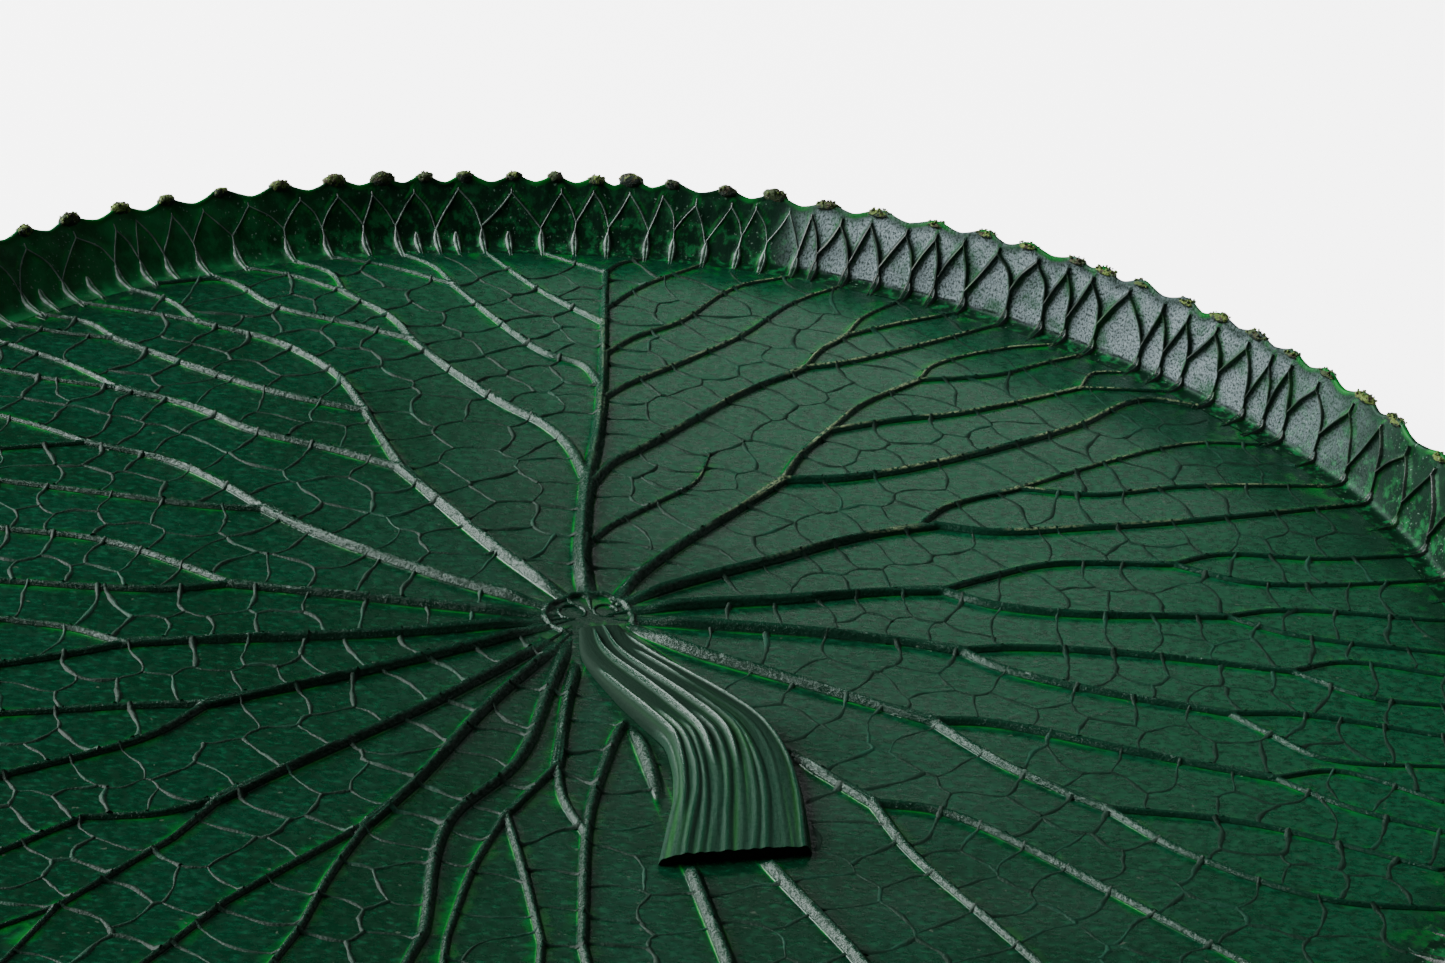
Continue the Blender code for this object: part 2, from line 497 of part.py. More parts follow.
def build_leaf(feet):
    """Build the leaf: the relief of its face, the outside of its wall, and a flat underside."""
    ribs = rib_lines(feet)
    lines = ribs + lattice_lines(feet)
    points, edges, outline_count = sheet_drawing(feet, ribs)
    millimetre_points = [Vector(point) * 1000.0 for point in points]
    flat, _, faces, _, _, _ = delaunay_2d_cdt(
        millimetre_points, edges, [list(range(outline_count))], 1, MERGE_MILLIMETRES)
    flat = np.array([tuple(vertex) for vertex in flat]) / 1000.0
    lift = relief(flat, lines)
    lift[inside(flat, stalk_outline((STALK_RAMP - 0.1) * PERCENT))] = 0.0

    leaf = bmesh.new()
    vertices = [leaf.verts.new(bend_up(point, raised)) for point, raised in zip(flat, lift)]
    for face in faces:
        leaf.faces.new([vertices[i] for i in face])
    edge_loop = [edge for edge in leaf.edges if edge.is_boundary]
    wall_top = bmesh.ops.extrude_edge_only(leaf, edges=edge_loop)["geom"]
    for vertex in (item for item in wall_top if isinstance(item, bmesh.types.BMVert)):
        outward = Vector((vertex.co.x, vertex.co.y, 0.0)).normalized()
        vertex.co += outward * WALL_TOP_THICKNESS
    edge_loop = [item for item in wall_top if isinstance(item, bmesh.types.BMEdge)]
    wall_foot = bmesh.ops.extrude_edge_only(leaf, edges=edge_loop)["geom"]
    for vertex in (item for item in wall_foot if isinstance(item, bmesh.types.BMVert)):
        outward = Vector((vertex.co.x, vertex.co.y, 0.0)).normalized()
        vertex.co = outward * (FLOOR_RADIUS + WALL_FOOT_THICKNESS)
    edge_loop = [item for item in wall_foot if isinstance(item, bmesh.types.BMEdge)]
    bmesh.ops.contextual_create(leaf, geom=edge_loop)
    bmesh.ops.triangulate(leaf, faces=leaf.faces)
    bmesh.ops.recalc_face_normals(leaf, faces=leaf.faces)
    return leaf


def stalk_section(width, height):
    """Return one section of the stalk as sideways and upward places, from one bottom edge over it."""
    section = [(-width / 2.0, 0.0)]
    flute = width / STALK_FLUTES
    for i in range(2 * STALK_FLUTES - 1):
        across = -width / 2.0 + flute * (i + 1) / 2.0
        crown = height * (1.0 - 0.45 * abs(2.0 * across / width) ** 3)
        groove = i % 2 == 1
        section.append((across, crown - groove * FLUTE_DEPTH * height))
    section.append((width / 2.0, 0.0))
    return section


def build_stalk():
    """Build the stalk: its fluted sections lofted along its way, with a flat end at the knot and the cut."""
    stalk = bmesh.new()
    rings = []
    for middle, sideways, width, height in zip(*stalk_frames(STALK_SECTIONS)):
        ring = []
        for across, up in stalk_section(width, height):
            place = middle - sideways * across
            ring.append(stalk.verts.new((place[0], place[1], FLOOR_THICKNESS + TOUCH_GAP + up)))
        rings.append(ring)
    for ring, following in zip(rings, rings[1:]):
        for i in range(len(ring)):
            after = (i + 1) % len(ring)
            stalk.faces.new((ring[i], ring[after], following[after], following[i]))
    for end in (rings[0], rings[-1]):
        stalk.faces.new(end)
    bmesh.ops.triangulate(stalk, faces=stalk.faces)
    bmesh.ops.recalc_face_normals(stalk, faces=stalk.faces)
    return stalk


def finish(name, colour, roughness):
    """Return a material with a colour and a roughness."""
    material = bpy.data.materials.new(name)
    material.use_nodes = True
    shader = material.node_tree.nodes["Principled BSDF"]
    shader.inputs["Base Color"].default_value = colour
    shader.inputs["Roughness"].default_value = roughness
    return material


def place_piece(name, shape, material, collection):
    """Turn a built shape into a named object in the collection."""
    mesh = bpy.data.meshes.new(name)
    shape.to_mesh(mesh)
    shape.free()
    mesh.materials.append(material)
    collection.objects.link(bpy.data.objects.new(name, mesh))


def main():
    """Clear the scene and build the water lily pad."""
    for item in list(bpy.data.objects):
        bpy.data.objects.remove(item, do_unlink=True)
    collection = bpy.data.collections.new("water_lily_pad")
    bpy.context.scene.collection.children.link(collection)
    feet = around_rim(FEET_SEEN, FOOT_PITCH)
    place_piece("leaf_pad", build_leaf(feet), finish("leaf_skin", LEAF_GREEN, 0.45), collection)
    place_piece("stalk", build_stalk(), finish("stalk_skin", STALK_GREEN, 0.5), collection)


main()
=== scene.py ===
"""Looks of the water lily pad: forking ribs, fine veins, latticed rim with mossy nubs, and the cut stalk.

The leaf is drawn flat, as if its wall were unrolled, and is then bent up into a tray. A place on the drawing
is a bearing in degrees, clockwise from +Y as seen from above, and a reach in percent of the floor's radius.
"""

import json
import logging
import math
from dataclasses import dataclass
from enum import Enum

import bpy
import numpy as np
from mathutils import Matrix, Vector
from mathutils.geometry import delaunay_2d_cdt

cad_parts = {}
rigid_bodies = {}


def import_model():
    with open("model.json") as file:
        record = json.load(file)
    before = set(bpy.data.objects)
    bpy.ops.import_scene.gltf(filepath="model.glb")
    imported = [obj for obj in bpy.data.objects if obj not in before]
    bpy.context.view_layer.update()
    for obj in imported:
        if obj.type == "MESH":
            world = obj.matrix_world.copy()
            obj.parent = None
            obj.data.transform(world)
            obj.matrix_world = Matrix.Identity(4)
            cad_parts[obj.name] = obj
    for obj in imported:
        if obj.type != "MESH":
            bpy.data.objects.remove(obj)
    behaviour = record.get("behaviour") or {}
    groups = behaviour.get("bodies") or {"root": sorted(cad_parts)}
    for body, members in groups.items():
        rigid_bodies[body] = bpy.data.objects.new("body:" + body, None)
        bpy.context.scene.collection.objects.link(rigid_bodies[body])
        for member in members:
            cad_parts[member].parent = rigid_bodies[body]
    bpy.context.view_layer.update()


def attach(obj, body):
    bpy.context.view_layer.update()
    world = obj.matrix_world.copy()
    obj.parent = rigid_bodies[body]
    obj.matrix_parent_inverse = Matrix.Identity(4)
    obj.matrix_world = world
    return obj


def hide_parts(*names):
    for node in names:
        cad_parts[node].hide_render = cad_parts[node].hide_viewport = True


log = logging.getLogger("water_lily_pad")

Array = np.ndarray
Material = bpy.types.Material
Socket = bpy.types.NodeSocket
Value = Socket | float | tuple      # what a socket can be fed: another socket, a number or a colour

# Each rib: its width at both ends in thousandths of the radius, then its way points as (bearing, reach).
# A branch goes on from the end of the rib that its name begins with, up to the last slash.
RIBS = {
    "far": (24, 9, (-9, 5), (-9, 12), (-7, 19), (-5, 30), (-3, 46), (-3, 92)),
    "far/tip_left": (9, 6, (-6, 95), (-8, 99)),
    "far/tip_right": (9, 6, (-2, 95), (0, 99)),
    "far_low_right": (12, 4, (-4, 17), (2, 21), (11, 28), (16, 35), (15, 43)),
    "far_right": (16, 11, (-4, 31), (0, 37), (4, 41), (10, 51), (14, 61), (18, 71)),
    "far_right/a": (11, 7, (21, 75), (25, 85), (29, 98)),
    "far_right/b": (11, 9, (18, 77), (19, 83)),
    "far_right/b/1": (9, 7, (22, 90), (24.5, 98)),
    "far_right/b/2": (8, 6, (19, 89), (20.5, 98)),
    "far_mid_right": (12, 6, (-3, 53), (0, 58), (6, 67), (10, 76), (13, 90), (15, 98)),
    "far_high_right": (11, 6, (-3, 66), (0, 72), (4, 78), (8, 92), (11, 98)),
    "far_top_right": (10, 6, (-3, 80), (0, 88), (4, 98)),
    "far_left": (17, 12, (-5, 32), (-8, 41), (-11, 46), (-16, 52), (-20, 61), (-22.5, 71)),
    "far_left/a": (12, 8, (-27, 77), (-32, 85), (-34, 95), (-38, 99)),
    "far_left_a1": (7, 6, (-33.5, 94), (-34.5, 99)),
    "far_left/b": (12, 10, (-23, 78), (-25.5, 87)),
    "far_left/b/1": (9, 7, (-29, 94), (-31, 99)),
    "far_left/b/2": (9, 7, (-25.5, 93), (-27, 99)),
    "far_mid_left": (13, 9, (-3, 57), (-5, 63), (-9, 66), (-12, 72), (-16, 87)),
    "far_mid_left/a": (9, 7, (-21, 94), (-24.5, 99)),
    "far_mid_left/b": (9, 6, (-17, 93), (-19, 99)),
    "far_high_left": (12, 6, (-3, 76), (-7, 82), (-9, 86), (-12, 99)),
    "right_far": (18, 14, (31, 5), (25, 10), (26, 17), (28, 28), (29, 41)),
    "right_far/a": (15, 10, (36, 47), (42, 63), (44, 80), (44, 93), (48, 99)),
    "right_far/b": (14, 12, (27, 48), (26.5, 56)),
    "right_far/b/1": (12, 8, (31, 64), (35, 71), (39.5, 89)),
    "right_far/b/1/a": (8, 6, (43.5, 99)),
    "right_far/b/1/b": (7, 6, (38.5, 94), (40, 99)),
    "right_far/b/2": (11, 9, (26.5, 65), (28.5, 76)),
    "right_far/b/2/a": (9, 7, (33, 84), (35, 93), (36.5, 99)),
    "right_far/b/2/b": (8, 6, (28, 81), (31, 92), (33, 98)),
    "right_high": (20, 14, (42, 5), (46, 12), (50, 24), (51, 37), (53.5, 47)),
    "right_high/a": (14, 8, (58, 52), (61, 63), (63, 78), (65, 99)),
    "right_high_b": (11, 9, (52, 46), (50, 51), (50.5, 62)),
    "right_high_b/1": (9, 7, (55, 69), (57, 80), (61, 97)),
    "right_high_b/2": (8, 6, (50.5, 76), (51.5, 90), (54, 99)),
    "right_mid": (21, 15, (65, 5), (68, 12), (71, 22), (71, 33), (72, 40)),
    "right_mid/a": (15, 11, (77, 45), (79.5, 54), (80, 71)),
    "right_mid/a/1": (9, 7, (83, 78), (85, 95)),
    "right_mid/a/2": (9, 7, (79, 77), (80.5, 95)),
    "right_mid/b": (12, 10, (69, 47), (67.5, 54), (70, 69)),
    "right_mid/b/1": (10, 7, (74, 76), (75, 84), (76, 98)),
    "right_mid/b/2": (9, 7, (69, 75), (71, 87), (72, 98)),
    "right": (21, 15, (90, 5), (90, 35), (91, 40)),
    "right/a": (13, 10, (89, 45), (88, 55), (89, 76)),
    "right/a/1": (9, 7, (87, 82), (88, 94)),
    "right/a/2": (9, 7, (92, 84), (92, 93)),
    "right/b": (14, 11, (95, 45), (97, 54), (97.5, 69)),
    "right/b/1": (10, 7, (96, 76), (96, 92)),
    "right/b/2": (10, 6, (100, 74), (102, 79), (100, 92)),
    "right_low": (21, 16, (111, 5), (117, 13), (115, 22), (113.5, 40)),
    "right_low/a": (15, 11, (110, 45), (108, 59), (106.5, 75)),
    "right_low/a/1": (9, 7, (103.5, 81), (104.5, 92)),
    "right_low/a/2": (10, 7, (108, 83), (108, 93)),
    "right_low/b": (15, 12, (118, 50), (119, 62)),
    "right_low/b/1": (11, 7, (114, 75), (112.5, 94)),
    "right_low/b/2": (12, 8, (121, 72), (120, 86), (117, 96)),
    "near_right": (20, 16, (132, 5), (136, 18), (138, 32), (137, 45)),
    "near_right/a": (14, 11, (132, 50), (130, 60), (130, 78)),
    "near_right/b": (14, 11, (140, 53), (141, 64)),
    "near_under_right": (20, 17, (152, 6), (156.5, 22), (156, 46), (154, 66)),
    "near_under_left": (20, 16, (161, 6), (164.5, 22), (164.5, 64)),
    "near_bent": (15, 12, (170, 6), (163, 20), (169, 24), (173, 30), (176, 40), (176.5, 62)),
    "near": (16, 14, (-178, 6), (-176.5, 17), (-178, 31)),
    "near/a": (13, 12, (-175, 36), (-172.5, 41)),
    "near/a/1": (11, 9, (-171.5, 51), (-172, 63)),
    "near/a/2": (11, 10, (-176, 48), (-180, 62)),
    "near/b": (12, 11, (180, 37), (176.5, 43)),
    "near_left": (17, 13, (-164, 7), (-169, 16), (-170.5, 32), (-166, 44), (-170, 63)),
    "near_mid_left": (18, 15, (-156, 8), (-156, 22), (-158, 40), (-157.5, 48)),
    "near_mid_left/a": (12, 10, (-159, 58), (-160.5, 67)),
    "near_mid_left/b": (12, 10, (-156, 54), (-153.5, 67)),
    "near_high_left": (19, 15, (-147, 8), (-145, 25), (-143, 40), (-142, 54)),
    "near_high_left/a": (12, 10, (-140, 60), (-136.5, 66)),
    "near_high_left/b": (12, 10, (-144, 62)),
    "left_low": (19, 15, (-124, 6), (-126, 16), (-125, 32), (-124, 45)),
    "left_low/a": (12, 10, (-121, 52), (-118, 65)),
    "left_low/b": (13, 11, (-127.5, 53), (-127.5, 69)),
    "left_mid": (19, 15, (-112, 6), (-110.5, 20), (-108, 36), (-107, 50)),
    "left_mid/a": (11, 10, (-103, 55), (-101, 62)),
    "left_mid/b": (13, 11, (-108.5, 56), (-109.5, 63)),
    "left": (18, 14, (-100, 5), (-92, 20), (-90, 39)),
    "left/a": (12, 10, (-86.5, 44), (-82.5, 55), (-83, 66)),
    "left/b": (13, 10, (-93, 46), (-93.5, 63)),
    "left_high": (20, 15, (-76, 5), (-71.5, 17), (-67.5, 34), (-65, 42)),
    "left_high/a": (13, 10, (-62.5, 49), (-61.5, 58), (-63.5, 68)),
    "left_high/a/1": (9, 7, (-63.5, 73), (-64, 80)),
    "left_high/a/2": (9, 8, (-69, 75)),
    "left_high/b": (12, 9, (-69, 48), (-72, 58), (-74.5, 71)),
    "left_far": (21, 16, (-42, 5), (-41, 18), (-38.5, 39)),
    "left_far/a": (14, 11, (-44, 47), (-49, 56), (-50.5, 66), (-53, 75)),
    "left_far/a/1": (9, 7, (-56, 82), (-58, 90)),
    "left_far/a/2": (9, 7, (-53, 83), (-54, 92)),
    "left_far/b": (15, 12, (-35, 50), (-34, 54)),
    "left_far/b/1": (13, 10, (-40, 61), (-44, 71), (-47, 86)),
    "left_far/b/1/a": (9, 7, (-50, 92), (-52, 97)),
    "left_far/b/1/b": (9, 7, (-47, 92), (-49, 99)),
    "left_far/b/2": (13, 10, (-33, 65), (-35, 75), (-39.5, 85)),
    "left_far/b/2/a": (9, 7, (-43, 92), (-45.5, 99)),
    "left_far/b/2/b": (9, 7, (-39.5, 92), (-40.5, 99)),
}
FADING_RIBS = ("far_low_right", "near/b")   # these end on the floor or in another rib
# Ribs that leave the side of another rib, and run back along it as a strand of their own.
SIDE_RIBS = {"right_high_b": "right_high", **dict.fromkeys(
    ("far_low_right", "far_right", "far_mid_right", "far_high_right", "far_top_right", "far_left",
     "far_mid_left", "far_high_left"), "far")}


class Side(Enum):
    """The side of a rib that a strand lies on, seen along the rib's way out from the knot."""

    LEFT = 1.0
    RIGHT = -1.0


def parent_of(name: str) -> str:
    """Return the name of the rib that a branch goes on from, or nothing."""
    return name.rpartition("/")[0]


def smooth_step(values: Array) -> Array:
    """Ease values between 0 and 1, and hold them outside."""
    held = np.clip(values, 0.0, 1.0)
    return held * held * (3.0 - 2.0 * held)


def ease(values: Array, start: float, end: float) -> Array:
    """Ease from 0 at the start to 1 at the end, and hold the values beyond them."""
    return smooth_step((values - start) / (end - start))


def roof(share: Array, rounding: float) -> Array:
    """Return a ridge's height over its crest's: two flat flanks and a crest rounded over the half width."""
    full = math.hypot(1.0, rounding)
    return (full - np.hypot(share, rounding)) / (full - rounding)


def bearings_of(points: Array) -> Array:
    """Return the bearing of each flat point, in degrees."""
    return np.degrees(np.arctan2(points[:, 0], points[:, 1]))


def outward_of(points: Array) -> Array:
    """Return the level unit direction away from the knot at each point."""
    return points[:, :2] / np.linalg.norm(points[:, :2], axis=1)[:, None]


def turn_between(first: float, second: float) -> float:
    """Return the signed turn from one bearing to another, within half a turn."""
    return (second - first + 180.0) % 360.0 - 180.0


def sideways_of(curve: Array) -> Array:
    """Return the unit direction to the left of a flat curve at each of its points."""
    ahead = np.gradient(curve, axis=0)
    ahead /= np.linalg.norm(ahead, axis=1)[:, None]
    return np.column_stack((-ahead[:, 1], ahead[:, 0]))


def lengths_along(curve: Array) -> Array:
    """Return how far along a curve each of its points lies."""
    return np.concatenate(([0.0], np.cumsum(np.linalg.norm(np.diff(curve, axis=0), axis=1))))


def smooth_route(points: Array, step: float) -> Array:
    """Draw a smooth curve through the points.

    Args:
        points: The way points, one a row.
        step: About how far apart the curve's points lie.

    Returns:
        The curve's points, one a row.
    """
    points = np.asarray(points, float)
    knots = lengths_along(points)
    slopes = np.diff(points, axis=0) / np.diff(knots)[:, None]
    tangents = np.vstack((slopes[:1], (slopes[:-1] + slopes[1:]) / 2.0, slopes[-1:]))
    curve = [points[0]]
    for i in range(len(points) - 1):
        length = knots[i + 1] - knots[i]
        count = max(1, round(length / step))
        for share in np.arange(1, count + 1) / count:
            square, cube = share ** 2, share ** 3
            curve.append((2 * cube - 3 * square + 1) * points[i] + (3 * square - 2 * cube) * points[i + 1]
                         + (cube - 2 * square + share) * length * tangents[i]
                         + (cube - square) * length * tangents[i + 1])
    return np.array(curve)


def wander(points: Array, wavelength: float, seed: int) -> Array:
    """Return a soft random height from about -1 to 1 at each point, from a few crossing waves.

    Args:
        points: The places, one a row, with two or three columns.
        wavelength: About how far apart the heights' tops lie, in the points' own units.
        seed: Which of the many patterns this is.

    Returns:
        One value for each point.
    """
    rng = np.random.default_rng(seed)
    total = np.zeros(len(points))
    for _ in range(6):
        direction = rng.normal(size=points.shape[1])
        direction *= 2.0 * math.pi / (wavelength * rng.uniform(0.6, 1.7) * np.linalg.norm(direction))
        total += np.sin(points @ direction + rng.uniform(0.0, 2.0 * math.pi))
    return total / 3.0


@dataclass
class Ridge:
    """One raised line of the flat drawing.

    Attributes:
        points: The crest's points, one a row.
        halves: Half the ridge's width at each point.
        heights: The crest's height at each point.
    """

    points: Array
    halves: Array
    heights: Array


@dataclass
class Survey:
    """What the ridges do at each of a set of flat points.

    Attributes:
        lift: How far the point is raised.
        crest: 1 on a crest, and 0 at the foot of a ridge and beyond.
        foot: 1 on the line where a ridge meets the face, and 0 away from it.
        gap: Distance to the nearest ridge's foot, up to the survey's reach.
    """

    lift: Array
    crest: Array
    foot: Array
    gap: Array


@dataclass(frozen=True)
class LeafPlan:
    """Sizes and places that every part of the leaf is drawn from, in metres, degrees and percent."""

    floor_radius: float = 0.400
    floor_thickness: float = 0.005
    crease_radius: float = 0.003
    wall_foot_thickness: float = 0.005
    wall_top_thickness: float = 0.003
    touch_gap: float = 0.0003
    # The wall as (bearing, height, how far its top leans out), in percent of the radius.
    wall_shape: tuple = ((-170, 7.6, 3.2), (-120, 7.2, 4.4), (-70, 6.6, 5.4), (-30, 6.0, 5.6),
                         (8, 6.6, 5.2), (32, 9.4, 2.0), (60, 9.6, 2.0), (78, 9.3, 2.2),
                         (122, 6.0, 5.0), (158, 6.8, 4.4))
    feet_seen: tuple = (-49, -45.5, -41, -39, -37, -34.5, -31.5, -27.5, -24.5, -21.5, -19, -16, -12.5, -8,
                        -5.5, -3, 0, 2, 4.5, 7, 9, 11.5, 13, 15.5, 18, 20.5, 22.5, 25, 28.5, 31.5, 33.5, 36,
                        40, 42, 44, 47, 50, 52, 54, 57.5, 61, 64, 67.5, 71.5, 75)
    blind_feet: tuple = (-160, -137.5, -104.5, -80, -47.5, -43.5, -17.5, -14.5, -10.5, 98, 139)
    nubs_seen: tuple = (-43, -39, -35.5, -31.5, -27, -23, -19.5, -16.5, -13.5, -10, -7, -4, -1.5, 1.5, 5.5, 9,
                        13, 17, 21.5, 25.5, 29, 33, 35.5, 38.5, 42.5, 45.5, 49, 52.5, 56, 60, 63.5, 69)
    foot_pitch: float = 2.75
    nub_pitch: float = 3.6
    swell_length: float = 0.075      # from top to top of the face's soft swells
    swell_height: float = 0.00025

    @property
    def percent(self) -> float:
        """One percent of the floor's radius, in metres."""
        return self.floor_radius / 100.0

    @property
    def feet(self) -> list[float]:
        """Bearings of all the feet."""
        return self.around_rim(self.feet_seen, self.foot_pitch)

    @property
    def nubs(self) -> list[float]:
        """Bearings of all the nubs."""
        return self.around_rim(self.nubs_seen, self.nub_pitch)

    @staticmethod
    def around_rim(seen: tuple, pitch: float) -> list[float]:
        """Return the bearings seen, followed by even ones at about the pitch in the rest of the rim."""
        gap = 360.0 + seen[0] - seen[-1]
        count = round(gap / pitch)
        return list(seen) + [seen[-1] + gap * i / count for i in range(1, count)]

    @staticmethod
    def middles(bearings: list[float]) -> list[float]:
        """Return the bearing midway between each of the bearings and the next one round the rim."""
        return [bearing + turn_between(bearing, bearings[(i + 1) % len(bearings)]) / 2.0
                for i, bearing in enumerate(bearings)]

    def flat(self, places: Array | list | tuple) -> Array:
        """Return the drawing's points for rows of bearing and reach."""
        places = np.asarray(places, float).reshape(-1, 2)
        angles = np.radians(places[:, 0])
        return np.column_stack((np.sin(angles), np.cos(angles))) * places[:, 1:] * self.percent

    def wall_values(self, bearings: Array, column: int) -> Array:
        """Blend one column of the wall's shape smoothly around the rim, in metres."""
        marks = np.array([row[0] for row in self.wall_shape] + [self.wall_shape[0][0] + 360.0])
        values = np.array([row[column] for row in self.wall_shape] + [self.wall_shape[0][column]])
        here = (np.asarray(bearings, float) - marks[0]) % 360.0 + marks[0]
        index = np.clip(np.searchsorted(marks, here, side="right") - 1, 0, len(marks) - 2)
        share = ease(here, marks[index], marks[index + 1])
        return (values[index] + (values[index + 1] - values[index]) * share) * self.percent

    @property
    def wall_start(self) -> float:
        """Distance on the flat drawing from the knot to where the wall's height is measured from."""
        return self.floor_radius - 2.0 * self.crease_radius + self.crease_radius * math.pi / 2.0

    def wall_reach(self, bearing: float, share: float) -> float:
        """Return the reach on the flat drawing, in percent, of a share of the wall's height."""
        rise = share * float(self.wall_values(np.array([bearing]), 1)[0])
        return (self.wall_start + rise) / self.percent

    def reaches_of(self, points: Array) -> Array:
        """Return the reach of each flat point, in percent."""
        return np.hypot(points[:, 0], points[:, 1]) / self.percent

    def half_width(self, thousandths: Array) -> Array:
        """Return half of a width given in thousandths of the floor's radius, in metres."""
        return thousandths * self.floor_radius / 2000.0

    def swell(self, points: Array) -> Array:
        """Return the face's soft swells at flat points."""
        return wander(points, self.swell_length, 3) * self.swell_height

    @property
    def crease_reach(self) -> float:
        """Reach of the middle of the turn from floor to wall, in percent."""
        return (self.floor_radius + (math.pi / 4.0 - 1.0) * self.crease_radius) / self.percent

    def bend_up(self, points: Array, lift: Array) -> Array:
        """Bend flat points up into the tray.

        Args:
            points: The flat points, one a row.
            lift: How far each is raised from the face.

        Returns:
            The points in space, one a row.
        """
        reach = np.maximum(np.linalg.norm(points, axis=1), 1e-9)
        bearings = bearings_of(points)
        start = self.floor_radius - self.crease_radius
        turn = np.clip((reach - start) / self.crease_radius, 0.0, math.pi / 2.0)
        radius = np.minimum(reach, start) + self.crease_radius * np.sin(turn)
        rise = self.crease_radius * (1.0 - np.cos(turn))
        rise += np.maximum(reach - start - self.crease_radius * math.pi / 2.0, 0.0)
        heights = self.wall_values(bearings, 1)
        radius += self.wall_values(bearings, 2) * rise / heights - lift * np.sin(turn)
        height = self.floor_thickness + rise + lift * np.cos(turn)
        return np.column_stack((points * (radius / reach)[:, None], height))


@dataclass
class RibPattern:
    """The ribs of the floor and the lattice of the wall, as ridges of the flat drawing."""

    plan: LeafPlan
    steepness: float = 0.56          # a rib's height over its width
    step: float = 0.003
    rim_reach: float = 96.0          # past this reach a rib runs on to the nearest foot
    rib_end: float = 97.5
    strand_run: float = 15.0         # how far back a branch runs along its parent, in percent
    strand_offset: float = 0.50      # how far from the parent's middle, over its half width
    strand_widths: tuple = (0.34, 0.62)     # over the parent's, where it starts and where it leaves
    strand_heights: tuple = (0.20, 0.62)    # over the parent's, at the start and what is gained on the way
    cleft: float = 0.20              # how much lower the parent's own crest is between its strands
    knot_reach: float = 9.0          # ribs that start within this reach run in to the ring
    knot_height: float = 0.28        # a rib's height where it meets the ring, over its full height
    ring_reach: float = 4.8
    ring_width: float = 0.85
    ring_waver: float = 0.25
    ring_heights: tuple = (1.05, 0.35)      # its middle over the half width, and how far it rises and falls
    inner_reach: float = 2.6         # ribs run inward through the ring to here
    inner_size: tuple = (0.4, 0.7)   # half width of these ends over the rib's, and height over that
    # The loops inside the ring: east, north and radius, in percent, and their size over the ring's.
    loops: tuple = ((-2.1, 0.5, 1.5), (1.5, 1.5, 1.3), (2.0, -1.4, 1.0))
    loop_size: tuple = (0.5, 0.55)
    rise_run: float = 5.0            # how far out from the ring a rib rises to its full height
    picked_feet: float = 0.66        # share of the feet near a tip that its ribs run to
    late_reach: float = 85.0         # a tip past this reach runs to one foot
    least_width: int = 7
    tip_width: int = 6
    foot_reach: float = 96.5
    drop_reaches: tuple = (-0.4, 0.7, 1.6)  # a foot's drop goes up through these, from the crease
    stem_start: float = 1.4
    stem_share: float = 0.33
    blind_share: float = 0.7         # a blind foot's height over a stem's
    apex_share: float = 0.90
    edge_margin: float = 0.25

    def floor_ribs(self) -> list[Ridge]:
        """Return the named ribs, the ribs grown from their tips to the rim, and the ring at the knot."""
        curves, tips = self.named_curves()
        ridges = [self.strand(name, curves) for name in curves]
        self.lower_parents(curves)
        ridges += [curves[name] for name in curves]
        for route, start_width, end_width in self.grown(tips):
            ridges.append(self.ridge(route, start_width, end_width))
        ridges += self.knot_ridges()
        return [ridge for ridge in ridges if ridge is not None]

    def ridge(self, route: list, start_width: float, end_width: float) -> Ridge:
        """Return a ridge along a route, its widths given in thousandths of the radius."""
        curve = smooth_route(self.plan.flat(route), self.step)
        halves = self.plan.half_width(np.linspace(start_width, end_width, len(curve)))
        return Ridge(curve, halves, 2.0 * halves * self.steepness)

    def named_curves(self) -> tuple[dict[str, Ridge], list[tuple]]:
        """Return the named ribs by name, and the tips as bearing, reach and width."""
        parents = {parent_of(name) for name in RIBS}
        curves, tips = {}, []
        for name, (start_width, end_width, *route) in RIBS.items():
            parent = parent_of(name)
            if parent:
                route.insert(0, RIBS[parent][-1])
            bearing, reach = route[-1]
            if reach >= self.rim_reach:
                route[-1] = (self.nearest_foot(bearing), self.rib_end)
            if name not in parents and name not in FADING_RIBS:
                tips.append((bearing, reach, end_width))
            curves[name] = self.ridge(route, start_width, end_width)
            if not parent and route[0][1] < self.knot_reach:
                out = lengths_along(curves[name].points) / (self.rise_run * self.plan.percent)
                rise = self.knot_height + (1.0 - self.knot_height) * smooth_step(out)
                curves[name].heights = curves[name].heights * rise
        return curves, tips

    def nearest_foot(self, bearing: float) -> float:
        """Return the foot nearest to a bearing."""
        return min(self.plan.feet, key=lambda foot: abs(turn_between(bearing, foot)))

    def strand(self, name: str, curves: dict[str, Ridge]) -> Ridge | None:
        """Return the strand that carries a branch back along the side of the rib it comes from."""
        host = curves.get(parent_of(name) or SIDE_RIBS.get(name, ""))
        if host is None:
            return None
        branch = curves[name]
        start = int(np.argmin(np.linalg.norm(host.points - branch.points[0], axis=1)))
        lengths = lengths_along(host.points)
        first = int(np.searchsorted(lengths, lengths[start] - self.strand_run * self.plan.percent))
        if start - first < 3:
            return None
        sideways = sideways_of(host.points)
        heading = branch.points[min(6, len(branch.points) - 1)] - branch.points[0]
        side = Side.LEFT if heading @ sideways[start] > 0.0 else Side.RIGHT
        part = slice(first, start + 1)
        share = smooth_step(np.linspace(0.0, 1.0, start + 1 - first))
        offset = host.halves[part] * self.strand_offset * (0.25 + 0.75 * share) * side.value
        thin, full = self.strand_widths
        leaving = np.minimum(branch.halves[0], host.halves[part] * full)
        halves = host.halves[part] * thin * (1.0 - share) + leaving * share
        low, gained = self.strand_heights
        heights = host.heights[part] * (low + gained * share ** 0.5)
        points = host.points[part] + sideways[part] * offset[:, None]
        return Ridge(points, halves, heights)

